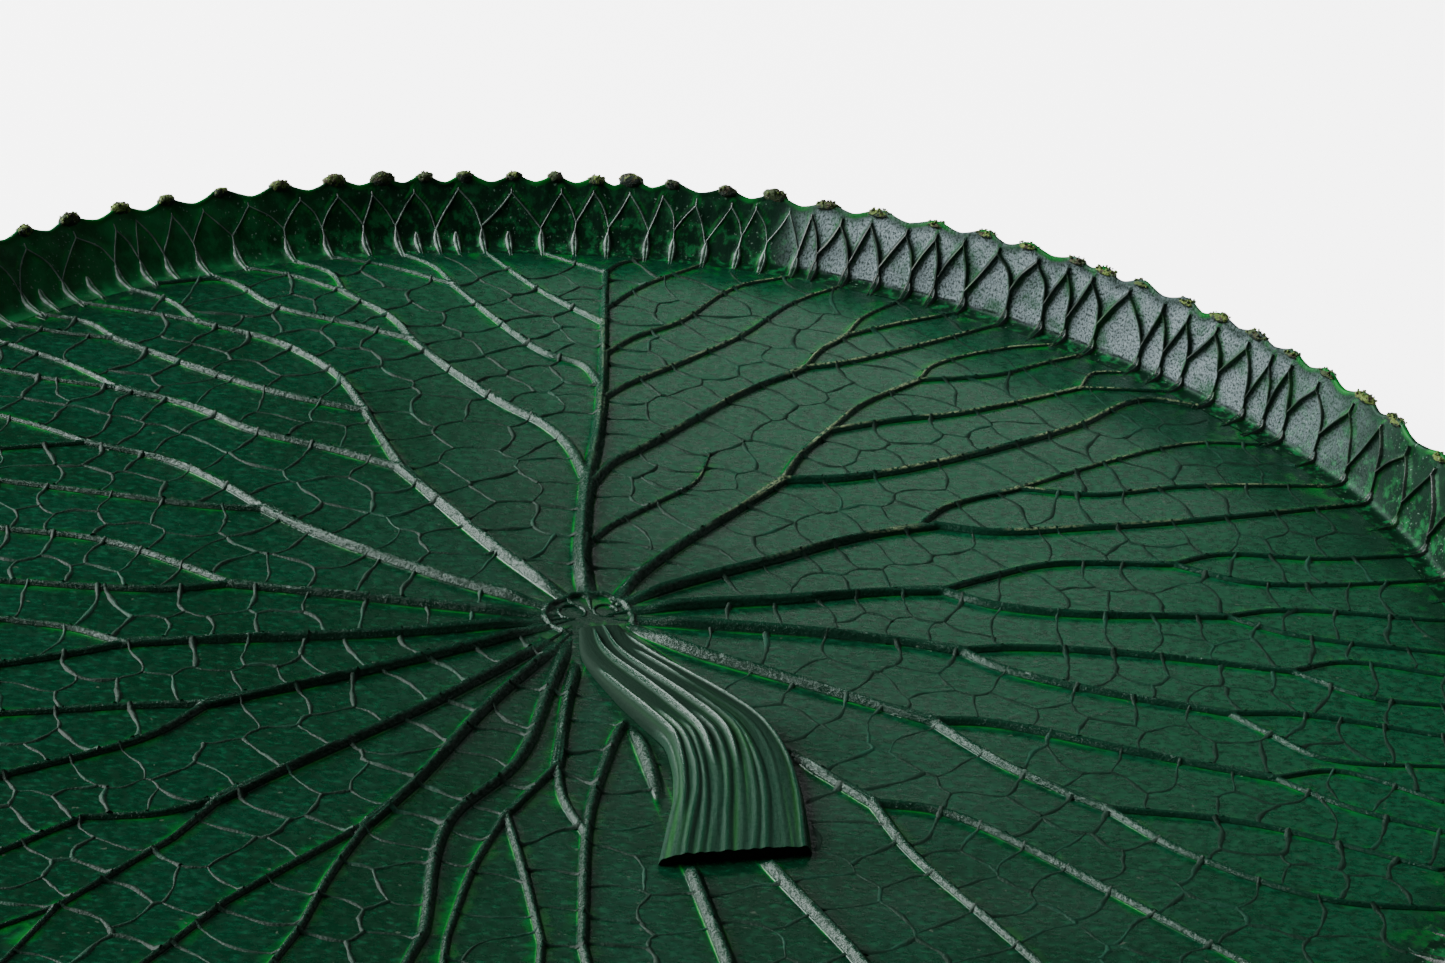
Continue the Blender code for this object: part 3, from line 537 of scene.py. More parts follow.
    def lower_parents(self, curves: dict[str, Ridge]) -> None:
        """Lower the middle of each rib that forks at its end, so that its two strands stand out."""
        for name in {parent_of(name) for name in RIBS} - {""}:
            ridge = curves[name]
            back = lengths_along(ridge.points)[-1] - lengths_along(ridge.points)
            share = smooth_step(1.0 - back / (self.strand_run * self.plan.percent))
            ridge.heights = ridge.heights * (1.0 - self.cleft * share)

    def grown(self, tips: list[tuple]) -> list[tuple]:
        """Fork each early tip outward to its share of the feet, in the part of the rim not named."""
        shares: dict[tuple, list[float]] = {tip: [] for tip in tips}
        for foot in self.plan.feet:
            shares[min(tips, key=lambda tip: abs(turn_between(tip[0], foot)))].append(foot)
        ribs: list[tuple] = []
        for tip, share in shares.items():
            if tip[1] >= self.rim_reach:
                continue
            share = share or [self.nearest_foot(tip[0])]
            share.sort(key=lambda foot: turn_between(tip[0], foot))
            count = max(1, round(len(share) * self.picked_feet)) if tip[1] < self.late_reach else 1
            picks = [share[round((i + 0.5) * len(share) / count - 0.5)] for i in range(count)]
            self.fork_out(ribs, tip, picks)
        return ribs

    def fork_out(self, ribs: list[tuple], start: tuple, feet: list[float]) -> None:
        """Add the ribs that run from a start, given as bearing, reach and width, to all the feet."""
        bearing, reach, width = start
        if len(feet) == 1:
            end = (bearing + turn_between(bearing, feet[0]), self.rib_end)
            middle = (bearing + 0.65 * (end[0] - bearing), reach + 0.5 * (end[1] - reach))
            ribs.append(([(bearing, reach), middle, end], width, self.tip_width))
            return
        mean_turn = sum(turn_between(bearing, foot) for foot in feet) / len(feet)
        shift = 0.12 * math.sin(bearing * 1.7)
        fork = (bearing + 0.5 * mean_turn, reach + (self.rim_reach - reach) * (0.42 + shift))
        fork_width = max(width - 1.5, self.least_width)
        ribs.append(([(bearing, reach), fork], width, fork_width))
        half = len(feet) // 2
        for side in (feet[:half], feet[half:]):
            self.fork_out(ribs, (fork[0], fork[1], fork_width - 1), side)

    def knot_ridges(self) -> list[Ridge]:
        """Return the ring at the knot, and the low ends of the ribs that run in through it."""
        percent = self.plan.percent
        bearings = np.arange(0.0, 361.0, 6.0)
        reaches = self.ring_reach + self.ring_waver * np.sin(np.radians(bearings * 3.0) + 0.7)
        ring = self.plan.flat(np.column_stack((bearings, reaches)))
        half = self.ring_width * percent / 2.0
        middle, change = self.ring_heights
        heights = half * (middle + change * np.sin(np.radians(bearings * 9.0)))
        ridges = [Ridge(ring, np.full(len(ring), half), heights)]
        across, up = self.loop_size
        for east, north, radius in self.loops:
            angles = np.radians(np.arange(0.0, 310.0, 22.0) + 90.0 * east)
            loop = np.column_stack((east + radius * np.sin(angles), north + radius * np.cos(angles)))
            halves, heights = np.full(len(loop), half * across), np.full(len(loop), half * up)
            ridges.append(Ridge(loop * percent, halves, heights))
        across, up = self.inner_size
        for name, (start_width, _, (bearing, reach), *_) in RIBS.items():
            if parent_of(name) or reach > self.knot_reach:
                continue
            inner = self.inner_reach + 0.8 * math.sin(bearing * 2.3)
            inward = smooth_route(self.plan.flat(((bearing, reach + 0.5), (bearing + 4.0, inner))), self.step)
            halves = self.plan.half_width(np.linspace(1.0, 0.35, len(inward)) * start_width) * across
            ridges.append(Ridge(inward, halves, halves * up))
        return ridges

    def lattice_routes(self) -> list[tuple[str, float, list]]:
        """Return the wall's lines as their kind, the bearing of their foot, and their places."""
        plan, routes = self.plan, []
        rng = np.random.default_rng(47)
        apexes = [bearing + rng.uniform(-0.3, 0.3) for bearing in plan.middles(plan.feet)]
        tops = [plan.wall_reach(bearing, self.apex_share + rng.uniform(-0.06, 0.04)) for bearing in apexes]
        low, middle, high = (plan.crease_reach + step for step in self.drop_reaches)
        for i, foot in enumerate(plan.feet):
            split = (foot + rng.uniform(-0.1, 0.1),
                     plan.wall_reach(foot, self.stem_share + rng.uniform(-0.08, 0.12)))
            routes.append(("drop", foot, [(foot, reach) for reach in (self.foot_reach, low, middle, high)]))
            routes.append(("stem", foot, [(foot, plan.crease_reach + self.stem_start), split]))
            for j in (i - 1, i):
                bow = (foot + rng.uniform(0.30, 0.56) * turn_between(foot, apexes[j]) + 0.1,
                       split[1] + 0.52 * (tops[j] - split[1]))
                routes.append(("arm", foot, [split, bow, (apexes[j], tops[j])]))
            top = (apexes[i], plan.wall_reach(apexes[i], 1.0) - self.edge_margin)
            routes.append(("tip", foot, [(apexes[i], tops[i]), top]))
        for foot in plan.blind_feet:
            top = plan.wall_reach(foot, self.stem_share * self.blind_share)
            routes.append(("drop", foot, [(foot, reach) for reach in (self.foot_reach, low, middle, top)]))
        return routes

    def wall_line(self, places: list, widths: tuple, steepness: float, step: float) -> Ridge:
        """Return a ridge of the wall through places, with its widths in percent."""
        points = self.plan.flat(places)
        lengths = lengths_along(points)
        if len(places) == 3:
            points = smooth_route(points, step)
        else:
            marks = np.linspace(0.0, lengths[-1], max(2, round(lengths[-1] / step)))
            points = np.column_stack([np.interp(marks, lengths, points[:, axis]) for axis in (0, 1)])
        shares = lengths_along(points) / max(lengths_along(points)[-1], 1e-9)
        marks = lengths / lengths[-1] if len(widths) == len(lengths) else np.linspace(0.0, 1.0, len(widths))
        halves = np.interp(shares, marks, widths) * self.plan.percent / 2.0
        return Ridge(points, halves, 2.0 * halves * steepness)

    def lattice(self) -> list[Ridge]:
        """Return the soft swellings of the wall under its feet, stems and arms."""
        widths = {"drop": ((0.2, 1.5, 1.4, 0.5), 0.34), "stem": ((0.7, 0.8), 0.45),
                  "arm": ((0.9, 0.9, 0.8), 0.45), "tip": ((0.8, 0.7), 0.4)}
        made = []
        for kind, foot, places in self.lattice_routes():
            across, steepness = widths[kind]
            if kind != "drop":
                steepness *= 0.35 + 0.65 * LeafWall.corded_at(foot)
            made.append(self.wall_line(places, across, steepness, 0.0015))
        return made


@dataclass
class Surveyor:
    """Measures how a set of ridges shapes the flat points near them."""

    ridges: list[Ridge]
    reach: float = 0.014        # how far from a ridge its gap is still measured
    foot_line: float = 0.00045  # half width of the line along a ridge's foot
    foot_share: float = 1.05    # where that line lies, over the ridge's half width
    rounding: float = 0.30      # radius of a ridge's crest, over its half width
    flank_end: float = 0.9      # from here, over the half width, a ridge runs out softly into the face
    toe: float = 0.10
    blend_power: float = 7.0    # how sharply ridges meet

    def profile(self, share: Array) -> Array:
        """Return a ridge's height over its crest's, at a distance over its half width: two flat flanks."""
        flank = roof(np.minimum(share, self.flank_end), self.rounding)
        return flank * np.where(share < self.flank_end, 1.0, np.exp(-(share - self.flank_end) / self.toe))

    def survey(self, points: Array) -> Survey:
        """Measure the ridges at the points."""
        power = np.zeros(len(points))
        crest = np.zeros(len(points))
        foot = np.zeros(len(points))
        gap = np.full(len(points), self.reach)
        order = np.argsort(points[:, 0])
        sorted_x = points[order, 0]
        for ridge in self.ridges:
            low, high = ridge.points.min(axis=0) - self.reach, ridge.points.max(axis=0) + self.reach
            near = order[np.searchsorted(sorted_x, low[0]):np.searchsorted(sorted_x, high[0])]
            near = near[(points[near, 1] > low[1]) & (points[near, 1] < high[1])]
            if not len(near):
                continue
            distance, half, height = self.nearest(points[near], ridge)
            share = distance / half
            power[near] += np.maximum(height * self.profile(share), 0.0) ** self.blend_power
            crest[near] = np.maximum(crest[near], 1.0 - share)
            line = np.exp(-((distance - self.foot_share * half) / self.foot_line) ** 2)
            foot[near] = np.maximum(foot[near], line)
            gap[near] = np.minimum(gap[near], np.maximum(distance - half, 0.0))
        foot *= ease(crest, 0.35, 0.05)
        return Survey(power ** (1.0 / self.blend_power), np.clip(crest, 0.0, 1.0), foot, gap)

    @staticmethod
    def nearest(points: Array, ridge: Ridge) -> tuple[Array, Array, Array]:
        """Return each point's distance to a ridge, and the ridge's half width and height there."""
        starts, along = ridge.points[:-1], np.diff(ridge.points, axis=0)
        squares = np.maximum((along ** 2).sum(axis=1), 1e-12)
        best = np.full(len(points), 1e9)
        place = np.zeros(len(points))
        for i in range(len(starts)):
            offset = points - starts[i]
            share = np.clip(offset @ along[i] / squares[i], 0.0, 1.0)
            offset -= share[:, None] * along[i]
            distance = np.hypot(offset[:, 0], offset[:, 1])
            closer = distance < best
            best[closer] = distance[closer]
            place[closer] = i + share[closer]
        marks = np.arange(len(ridge.points))
        return best, np.interp(place, marks, ridge.halves), np.interp(place, marks, ridge.heights)


class Shade:
    """Builds one procedural material, with short calls for its nodes."""

    def __init__(self, name: str, roughness: float = 0.5, ior: float = 1.5, specular: float = 0.5,
                 where: str = "") -> None:
        """Start a material.

        Args:
            name: The material's name.
            roughness: Its roughness, where nothing varies it.
            ior: Its index of refraction.
            specular: How strong its reflection is, 0.5 being plain.
            where: The vector that its noise lies on, or nothing for the object's own space.
        """
        self.material = bpy.data.materials.new(name)
        self.material.use_nodes = True
        self.tree = self.material.node_tree
        self.shader = self.tree.nodes["Principled BSDF"]
        self.where = where
        self.set("Roughness", roughness)
        self.set("IOR", ior)
        self.set("Specular IOR Level", specular)

    def set(self, name: str, value: Value) -> None:
        """Set or link one of the shader's own sockets."""
        self.feed(self.shader.inputs[name], value)

    def node(self, kind: str, **settings: str) -> bpy.types.Node:
        """Add a node with its settings."""
        made = self.tree.nodes.new(kind)
        for key, value in settings.items():
            setattr(made, key, value)
        return made

    def feed(self, socket: Socket, value: Value) -> None:
        """Link a socket to another one, or set it to a plain number or to a colour of three numbers."""
        if isinstance(value, bpy.types.NodeSocket):
            self.tree.links.new(value, socket)
        else:
            socket.default_value = value + (1.0,) if isinstance(value, tuple) else value

    def attribute(self, name: str) -> Socket:
        """Return a value that the mesh carries at its points."""
        return self.node("ShaderNodeAttribute", attribute_name=name).outputs["Fac"]

    def noise(self, scale: float, detail: float = 3.0, stretch: tuple = (1.0, 1.0, 1.0), rough: float = 0.55,
              where: str | None = None) -> Socket:
        """Return soft noise.

        Args:
            scale: Its waves a metre.
            detail: How many finer noises lie on it.
            stretch: How its scale differs along each axis.
            rough: How strong the finer noises are.
            where: The vector that it lies on, if it isn't the material's.

        Returns:
            The noise, around 0.5.
        """
        where = self.where if where is None else where
        if where:
            place = self.node("ShaderNodeAttribute", attribute_name=where).outputs["Vector"]
        else:
            place = self.node("ShaderNodeTexCoord").outputs["Object"]
        mapping = self.node("ShaderNodeMapping")
        mapping.inputs["Scale"].default_value = stretch
        self.feed(mapping.inputs["Vector"], place)
        made = self.node("ShaderNodeTexNoise")
        for key, value in (("Vector", mapping.outputs["Vector"]), ("Scale", scale), ("Detail", detail),
                           ("Roughness", rough)):
            self.feed(made.inputs[key], value)
        return made.outputs["Fac"]

    def level(self, value: Value, low: float, high: float, to_low: float = 0.0,
              to_high: float = 1.0) -> Socket:
        """Map a value from one range to another, smoothly, and hold it outside."""
        made = self.node("ShaderNodeMapRange", interpolation_type="SMOOTHSTEP")
        for key, number in (("Value", value), ("From Min", low), ("From Max", high), ("To Min", to_low),
                            ("To Max", to_high)):
            self.feed(made.inputs[key], number)
        return made.outputs["Result"]

    def patches(self, scale: float, detail: float, low: float, high: float, to_low: float = 0.0,
                to_high: float = 1.0, **noise: float | str) -> Socket:
        """Return patches of noise, whose values are mapped as a level's are."""
        return self.level(self.noise(scale, detail, **noise), low, high, to_low, to_high)

    def maths(self, operation: str, first: Value, second: Value) -> Socket:
        """Join two values."""
        made = self.node("ShaderNodeMath", operation=operation)
        self.feed(made.inputs[0], first)
        self.feed(made.inputs[1], second)
        return made.outputs[0]

    def times(self, first: Value, second: Value) -> Socket:
        """Multiply two values."""
        return self.maths("MULTIPLY", first, second)

    def mix(self, share: Value, first: Value, second: Value) -> Socket:
        """Blend two colours."""
        made = self.node("ShaderNodeMix", data_type="RGBA")
        for i, value in ((0, share), (6, first), (7, second)):
            self.feed(made.inputs[i], value)
        return made.outputs[2]

    def blend(self, share: Value, first: Value, second: Value) -> Socket:
        """Blend two plain values."""
        made = self.node("ShaderNodeMix", data_type="FLOAT")
        for i, value in ((0, share), (2, first), (3, second)):
            self.feed(made.inputs[i], value)
        return made.outputs[0]

    def layers(self, colour: Value, *coats: tuple[Value, Value]) -> Socket:
        """Lay coats over a colour, each given as its share and its own colour."""
        for share, coat in coats:
            colour = self.mix(share, colour, coat)
        return colour

    def bump(self, height: Socket, distance: float, below: Socket | None = None) -> Socket:
        """Return a normal roughened by a height, over one already made."""
        made = self.node("ShaderNodeBump")
        made.inputs["Strength"].default_value = 1.0
        made.inputs["Distance"].default_value = distance
        self.feed(made.inputs["Height"], height)
        if below is not None:
            self.feed(made.inputs["Normal"], below)
        return made.outputs["Normal"]

    def finish(self, colour: Socket, normal: Socket) -> Material:
        """Join the colour and the normal to the shader and return the material."""
        self.set("Base Color", colour)
        self.set("Normal", normal)
        return self.material


@dataclass(frozen=True)
class LeafSkin:
    """The face of the floor: deep green panels, granular rib crests, bright green along the ribs' feet."""

    deep: tuple = (0.0005, 0.026, 0.010)
    shadow: tuple = (0.0004, 0.018, 0.007)
    pale: tuple = (0.0014, 0.042, 0.020)
    # painted light: the paler, greener tone of the floor's side where more light falls
    painted_lit_side: tuple = (0.0034, 0.086, 0.036)
    rib: tuple = (0.0005, 0.021, 0.009)
    crest: tuple = (0.004, 0.040, 0.020)
    # pale olive, the tone of the upper right ribs' crests: partly dried crust, partly a painted highlight
    olive: tuple = (0.230, 0.300, 0.160)
    bright: tuple = (0.003, 0.170, 0.016)
    speck: tuple = (0.050, 0.080, 0.055)
    sheen: tuple = (0.84, 1.000, 0.930)
    worn: tuple = (0.10, 0.160, 0.130)      # the sheen in the pits of a rib

    def build(self) -> Material:
        """Return the material."""
        shade = Shade("leaf_skin", roughness=0.34, ior=1.45)
        painted_lit_side, painted_shade_margin, crest = (shade.attribute(name) for name in ("painted_lit_side", "painted_shade_margin", "crest"))
        grain = shade.noise(430.0, 4.0, stretch=(0.5, 1.0, 1.0), rough=0.72)
        mottle = shade.noise(190.0, 5.0, rough=0.7)
        rough = shade.noise(470.0, 4.0, rough=0.8)
        on_rib = shade.level(crest, 0.02, 0.20)
        # painted highlight, partly dried crust: pale olive crests on the upper right ribs
        dry_and_highlight = shade.times(shade.patches(24.0, 2.0, 0.40, 0.56), shade.attribute("dry_and_highlight"))
        colour = shade.layers(
            self.deep,
            (shade.times(shade.attribute("panel"), shade.patches(9.0, 2.0, 0.36, 0.62)), self.pale),
            # painted light: the floor is paler and greener towards the far right, where more light falls
            (painted_lit_side, self.painted_lit_side),
            (shade.level(grain, 0.46, 0.60, 0.0, 0.70), self.shadow),
            (shade.level(grain, 0.48, 0.34, 0.0, 0.85), self.painted_lit_side),
            (shade.level(mottle, 0.60, 0.40, 0.0, 0.45), self.deep),
            # painted shade: darker along the wall's foot and inside the ring at the knot, with bright green
            # patches there
            (shade.times(painted_shade_margin, 0.8), self.rib),
            (shade.times(painted_shade_margin, shade.patches(70.0, 4.0, 0.52, 0.66, 0.0, 0.5, rough=0.65)), self.bright),
            (shade.times(shade.attribute("foot"), shade.patches(45.0, 3.0, 0.40, 0.62)), self.bright),
            # the ribs too are painted paler on that lit side
            (on_rib, shade.mix(painted_lit_side, self.rib, self.pale)),
            (shade.times(shade.level(crest, 0.50, 0.78), shade.level(rough, 0.44, 0.54)),
             shade.mix(dry_and_highlight, self.crest, self.olive)),
            (shade.patches(300.0, 1.0, 0.770, 0.790), self.speck))
        normal = shade.bump(shade.times(rough, on_rib), 0.00055, shade.bump(grain, 0.00018))
        pepper = shade.times(on_rib, shade.level(rough, 0.52, 0.38, 0.0, 0.9))
        shade.set("Specular Tint", shade.mix(pepper, self.sheen, self.worn))
        shade.set("Roughness", shade.blend(on_rib, shade.level(mottle, 0.35, 0.65, 0.23, 0.33),
                                           shade.level(rough, 0.40, 0.54, 0.40, 0.17)))
        return shade.finish(colour, normal)


@dataclass(frozen=True)
class WallSkin:
    """The rim's wall: green-black leather on one side, pitted and painted with a silvery reflection on the
    other.
    """

    dark: tuple = (0.0006, 0.014, 0.0055)
    green: tuple = (0.0070, 0.120, 0.032)
    # painted reflection: the silvery sheen of the wall's inside where it faces the key light
    silver: tuple = (0.365, 0.450, 0.480)
    salt: tuple = (0.130, 0.210, 0.160)
    bright: tuple = (0.004, 0.150, 0.016)
    sheen: tuple = (0.50, 1.000, 0.760)

    def build(self) -> Material:
        """Return the material."""
        shade = Shade("wall_skin", roughness=0.45, ior=1.45, specular=0.22, where="unrolled")
        shade.set("Specular Tint", self.sheen)
        rise, silvered = shade.attribute("rise"), shade.attribute("silvered")
        mottle = shade.patches(150.0, 5.0, 0.48, 0.64, rough=0.7)
        cloudy = shade.patches(75.0, 5.0, 0.38, 0.62, 0.45, 1.0, rough=0.7)
        grains = shade.times(shade.patches(620.0, 1.0, 0.66, 0.72), shade.patches(40.0, 3.0, 0.40, 0.60))
        dark_side = shade.layers(
            self.dark,
            (shade.times(mottle, shade.level(rise, 0.85, 0.10, 0.35, 1.0)), self.green),
            (shade.times(shade.attribute("lit"), cloudy), self.green),
            (grains, self.salt))
        pits = shade.noise(1000.0, 4.0, stretch=(1.0, 0.7, 1.0), rough=0.75)
        # painted reflection: the silvery side, with dark pits
        reflection_side = shade.layers(
            self.silver,
            (shade.level(pits, 0.56, 0.38, 0.0, 0.9), self.dark),
            (shade.patches(60.0, 4.0, 0.48, 0.70, 0.0, 0.70, rough=0.65), self.green),
            (shade.level(rise, 0.84, 0.99, 0.0, 0.70), self.dark))
        crest = shade.times(shade.level(shade.attribute("crest"), 0.02, 0.30), silvered)
        glow = shade.times(shade.attribute("foot"), shade.patches(90.0, 2.0, 0.42, 0.60, where=""))
        # painted glow: a thin bright green line along the wall's top edge, as if lit through from behind
        edge = shade.times(shade.attribute("edge"), shade.patches(50.0, 2.0, 0.40, 0.62, where=""))
        colour = shade.layers(
            shade.mix(silvered, dark_side, reflection_side),
            (shade.times(crest, 0.8), self.dark),
            (shade.times(glow, 0.8), self.bright),
            (edge, self.bright))
        wrinkles = shade.noise(300.0, 4.0, stretch=(1.0, 0.28, 1.0))
        creases = shade.noise(90.0, 3.0, stretch=(0.35, 1.0, 1.0))
        # the bumps are stronger where the silvery reflection is painted
        worn = shade.level(silvered, 0.0, 1.0, 0.10, 1.0)
        normal = shade.bump(wrinkles, 0.00022)
        normal = shade.bump(shade.times(pits, worn), 0.0016, normal)
        return shade.finish(colour, shade.bump(shade.times(creases, worn), 0.0014, normal))


@dataclass(frozen=True)
class LatticeSkin:
    """The wall's lines: pale dried strands, partly painted glints, on the dark side, and dark cords on the
    side with the painted silvery reflection.
    """

    # partly pale dried strand, partly a painted glint
    pale: tuple = (0.180, 0.260, 0.220)
    grey: tuple = (0.030, 0.060, 0.045)
    dark: tuple = (0.0006, 0.014, 0.006)
    green: tuple = (0.003, 0.070, 0.010)

    def build(self) -> Material:
        """Return the material."""
        shade = Shade("lattice_skin", roughness=0.42, ior=1.5, where="unrolled")
        # pale in patches and towards the foot: partly dried strand, partly painted glints
        pale_and_glint = shade.times(shade.patches(150.0, 3.0, 0.36, 0.62),
                             shade.level(shade.attribute("rise"), 0.50, 0.26, 0.40, 1.0))
        threads_and_glints = shade.mix(pale_and_glint, self.grey, self.pale)
        cords = shade.mix(shade.patches(60.0, 2.0, 0.52, 0.66, 0.0, 0.6), self.dark, self.green)
        colour = shade.mix(shade.level(shade.attribute("corded"), 0.05, 0.6), threads_and_glints, cords)
        return shade.finish(colour, shade.bump(shade.noise(700.0), 0.0004))


@dataclass(frozen=True)
class BackSkin:
    """The outside and underside of the leaf: matt dark green, mottled with brown."""

    green: tuple = (0.0020, 0.024, 0.010)
    brown: tuple = (0.0120, 0.013, 0.006)
    dark: tuple = (0.001, 0.011, 0.005)

    def build(self) -> Material:
        """Return the material."""
        shade = Shade("back_skin", roughness=0.75, specular=0.15)
        grain = shade.noise(380.0, 4.0)
        colour = shade.layers(self.green, (shade.patches(26.0, 5.0, 0.45, 0.65), self.brown),
                              (shade.level(grain, 0.4, 0.7, 0.0, 0.4), self.dark))
        return shade.finish(colour, shade.bump(grain, 0.0008))


@dataclass(frozen=True)
class VeinSkin:
    """The fine veins: smooth dark green, duller than the face."""

    dark: tuple = (0.0006, 0.022, 0.010)
    pale: tuple = (0.0020, 0.050, 0.025)

    def build(self) -> Material:
        """Return the material."""
        shade = Shade("vein_skin", roughness=0.58, ior=1.45, specular=0.34)
        colour = shade.mix(shade.patches(45.0, 3.0, 0.50, 0.66), self.dark, self.pale)
        return shade.finish(colour, shade.bump(shade.noise(900.0, 2.0), 0.0004))


@dataclass(frozen=True)
class MossCrust:
    """The dried crust on the nubs: olive and yellow-green moss over brown, with pale grains."""

    olive: tuple = (0.040, 0.075, 0.018)
    lime: tuple = (0.150, 0.240, 0.040)
    brown: tuple = (0.060, 0.045, 0.020)
    pale: tuple = (0.260, 0.300, 0.200)
    dark: tuple = (0.005, 0.012, 0.004)
    skin: tuple = (0.0020, 0.018, 0.008)

    def build(self) -> Material:
        """Return the material."""
        shade = Shade("moss_crust", roughness=0.7)
        grain = shade.noise(1100.0)
        moss = shade.layers(
            self.olive,
            (shade.level(shade.attribute("tone"), 0.25, 0.55), self.lime),
            (shade.patches(330.0, 3.0, 0.50, 0.62), self.brown),
            (shade.patches(700.0, 2.0, 0.66, 0.72), self.pale),
            (shade.level(grain, 0.46, 0.32), self.dark))
        crusted = shade.maths("ADD", shade.attribute("crust"), shade.patches(420.0, 3.0, 0.3, 0.7, -0.3, 0.3))
        colour = shade.mix(shade.level(crusted, 0.30, 0.52), self.skin, moss)
        return shade.finish(colour, shade.bump(grain, 0.0012))


@dataclass(frozen=True)
class StalkSkin:
    """The stalk: dark green, with smooth pale crests, and green lines along their feet towards the cut."""

    dark: tuple = (0.0010, 0.034, 0.015)
    shadow: tuple = (0.0005, 0.012, 0.005)
    crest: tuple = (0.010, 0.042, 0.025)
    groove: tuple = (0.002, 0.075, 0.010)
    sheen: tuple = (0.86, 1.000, 0.930)
    worn: tuple = (0.20, 0.280, 0.240)
    # painted shade: the near black of the cut face
    cut: tuple = (0.0006, 0.002, 0.0012)

    def build(self) -> Material:
        """Return the material."""
        shade = Shade("stalk_skin", roughness=0.42, ior=1.45, where="unrolled")
        crest, share = shade.attribute("flute"), shade.attribute("share")
        shaded = shade.times(shade.level(crest, 0.18, 0.0), shade.level(share, 0.35, 0.75, 0.80, 0.0))
        patches = shade.patches(80.0, 2.0, 0.42, 0.62, stretch=(1.0, 0.12, 1.0))
        green = shade.times(shade.times(shade.attribute("foot"), patches),
                            shade.level(share, 0.30, 0.75, 0.15, 1.0))
        colour = shade.layers(
            self.dark,
            (shade.level(crest, 0.30, 0.95), self.crest),
            (shaded, self.shadow),
            (green, self.groove),
            # painted shade: the cut face is near black
            (shade.attribute("cut"), self.cut))
        fibres = shade.noise(500.0, stretch=(1.0, 0.10, 1.0))
        rough = shade.noise(600.0, 4.0, rough=0.75, where="")
        pepper = shade.maths("MAXIMUM", shade.level(rough, 0.52, 0.38, 0.0, 0.75), shaded)
        shade.set("Specular Tint", shade.mix(pepper, self.sheen, self.worn))
        shade.set("Roughness", shade.level(crest, 0.05, 0.38, 0.76, 0.25))
        return shade.finish(colour, shade.bump(rough, 0.00030, shade.bump(fibres, 0.0003)))


def add_object(name: str, data: bpy.types.ID) -> bpy.types.Object:
    """Add an object with its data to the scene."""
    item = bpy.data.objects.new(name, data)
    bpy.context.scene.collection.objects.link(item)
    return item


def make_piece(name: str, vertices: Array, faces: list, material: Material,
               smooth: bool = True, **attributes: Array) -> bpy.types.Object:
    """Make a mesh object that rides with the part.

    Args:
        name: The piece's name.
        vertices: Its points, one a row.
        faces: Its faces as rows of point numbers.
        material: Its finish.
        smooth: Whether its faces are shaded smooth.
        attributes: Values that the mesh carries at its points, by name.

    Returns:
        The new object.
    """
    mesh = bpy.data.meshes.new(name)
    mesh.from_pydata(np.asarray(vertices).tolist(), [], faces if isinstance(faces, list) else faces.tolist())
    for key, values in attributes.items():
        kind = "FLOAT_VECTOR" if np.ndim(values) == 2 else "FLOAT"
        layer = mesh.attributes.new(key, kind, "POINT")
        layer.data.foreach_set("vector" if kind == "FLOAT_VECTOR" else "value",
                               np.asarray(values, np.float32).ravel())
    mesh.polygons.foreach_set("use_smooth", np.full(len(mesh.polygons), smooth))
    mesh.materials.append(material)
    mesh.update()
    piece = add_object(name, mesh)
    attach(piece, "root")
    log.info("%s: %d faces", name, len(mesh.polygons))
    return piece


def grid_faces(rows: int, columns: int, closed: bool) -> Array:
    """Return the quads of a grid of points, row by row, whose columns may close into a ring."""
    last = columns if closed else columns - 1
    row, column = np.meshgrid(np.arange(rows - 1), np.arange(last), indexing="ij")
    following = (column + 1) % columns
    quads = np.stack((row * columns + column, row * columns + following,
                      (row + 1) * columns + following, (row + 1) * columns + column), axis=-1)
    return quads.reshape(-1, 4)


def triangles_between(points: Array, edges: list, outlines: list, merge: float) -> tuple[Array, list]:
    """Join flat points into triangles, worked out in millimetres, inside the outlines if there are any."""
    drawn, _, faces, _, _, _ = delaunay_2d_cdt(
        [Vector(point) for point in (points * 1000.0).tolist()], edges, outlines, int(bool(outlines)), merge)
    return np.array([tuple(vertex) for vertex in drawn]) / 1000.0, [list(face) for face in faces]


def strips(lines: list[Ridge]) -> tuple[Array, Array, Array]:
    """Draw low rounded strips along lines of the flat drawing.

    Args:
        lines: The strips' middle lines, half widths and heights.

    Returns:
        The flat points, their heights over the face, and the quads that join them.
    """
    shapes = ((-1.0, -0.3), (-0.35, 0.85), (0.0, 1.0), (0.35, 0.85), (1.0, -0.3))
    flat, offset, quads, base = [], [], [], 0
    for line in lines:
        sideways = sideways_of(line.points)
        for across, up in shapes:
            flat.append(line.points + sideways * (across * line.halves)[:, None])
            offset.append(up * line.heights)
        quads.append(grid_faces(len(shapes), len(line.points), False) + base)
        base += len(shapes) * len(line.points)
    return np.vstack(flat), np.concatenate(offset), np.vstack(quads)


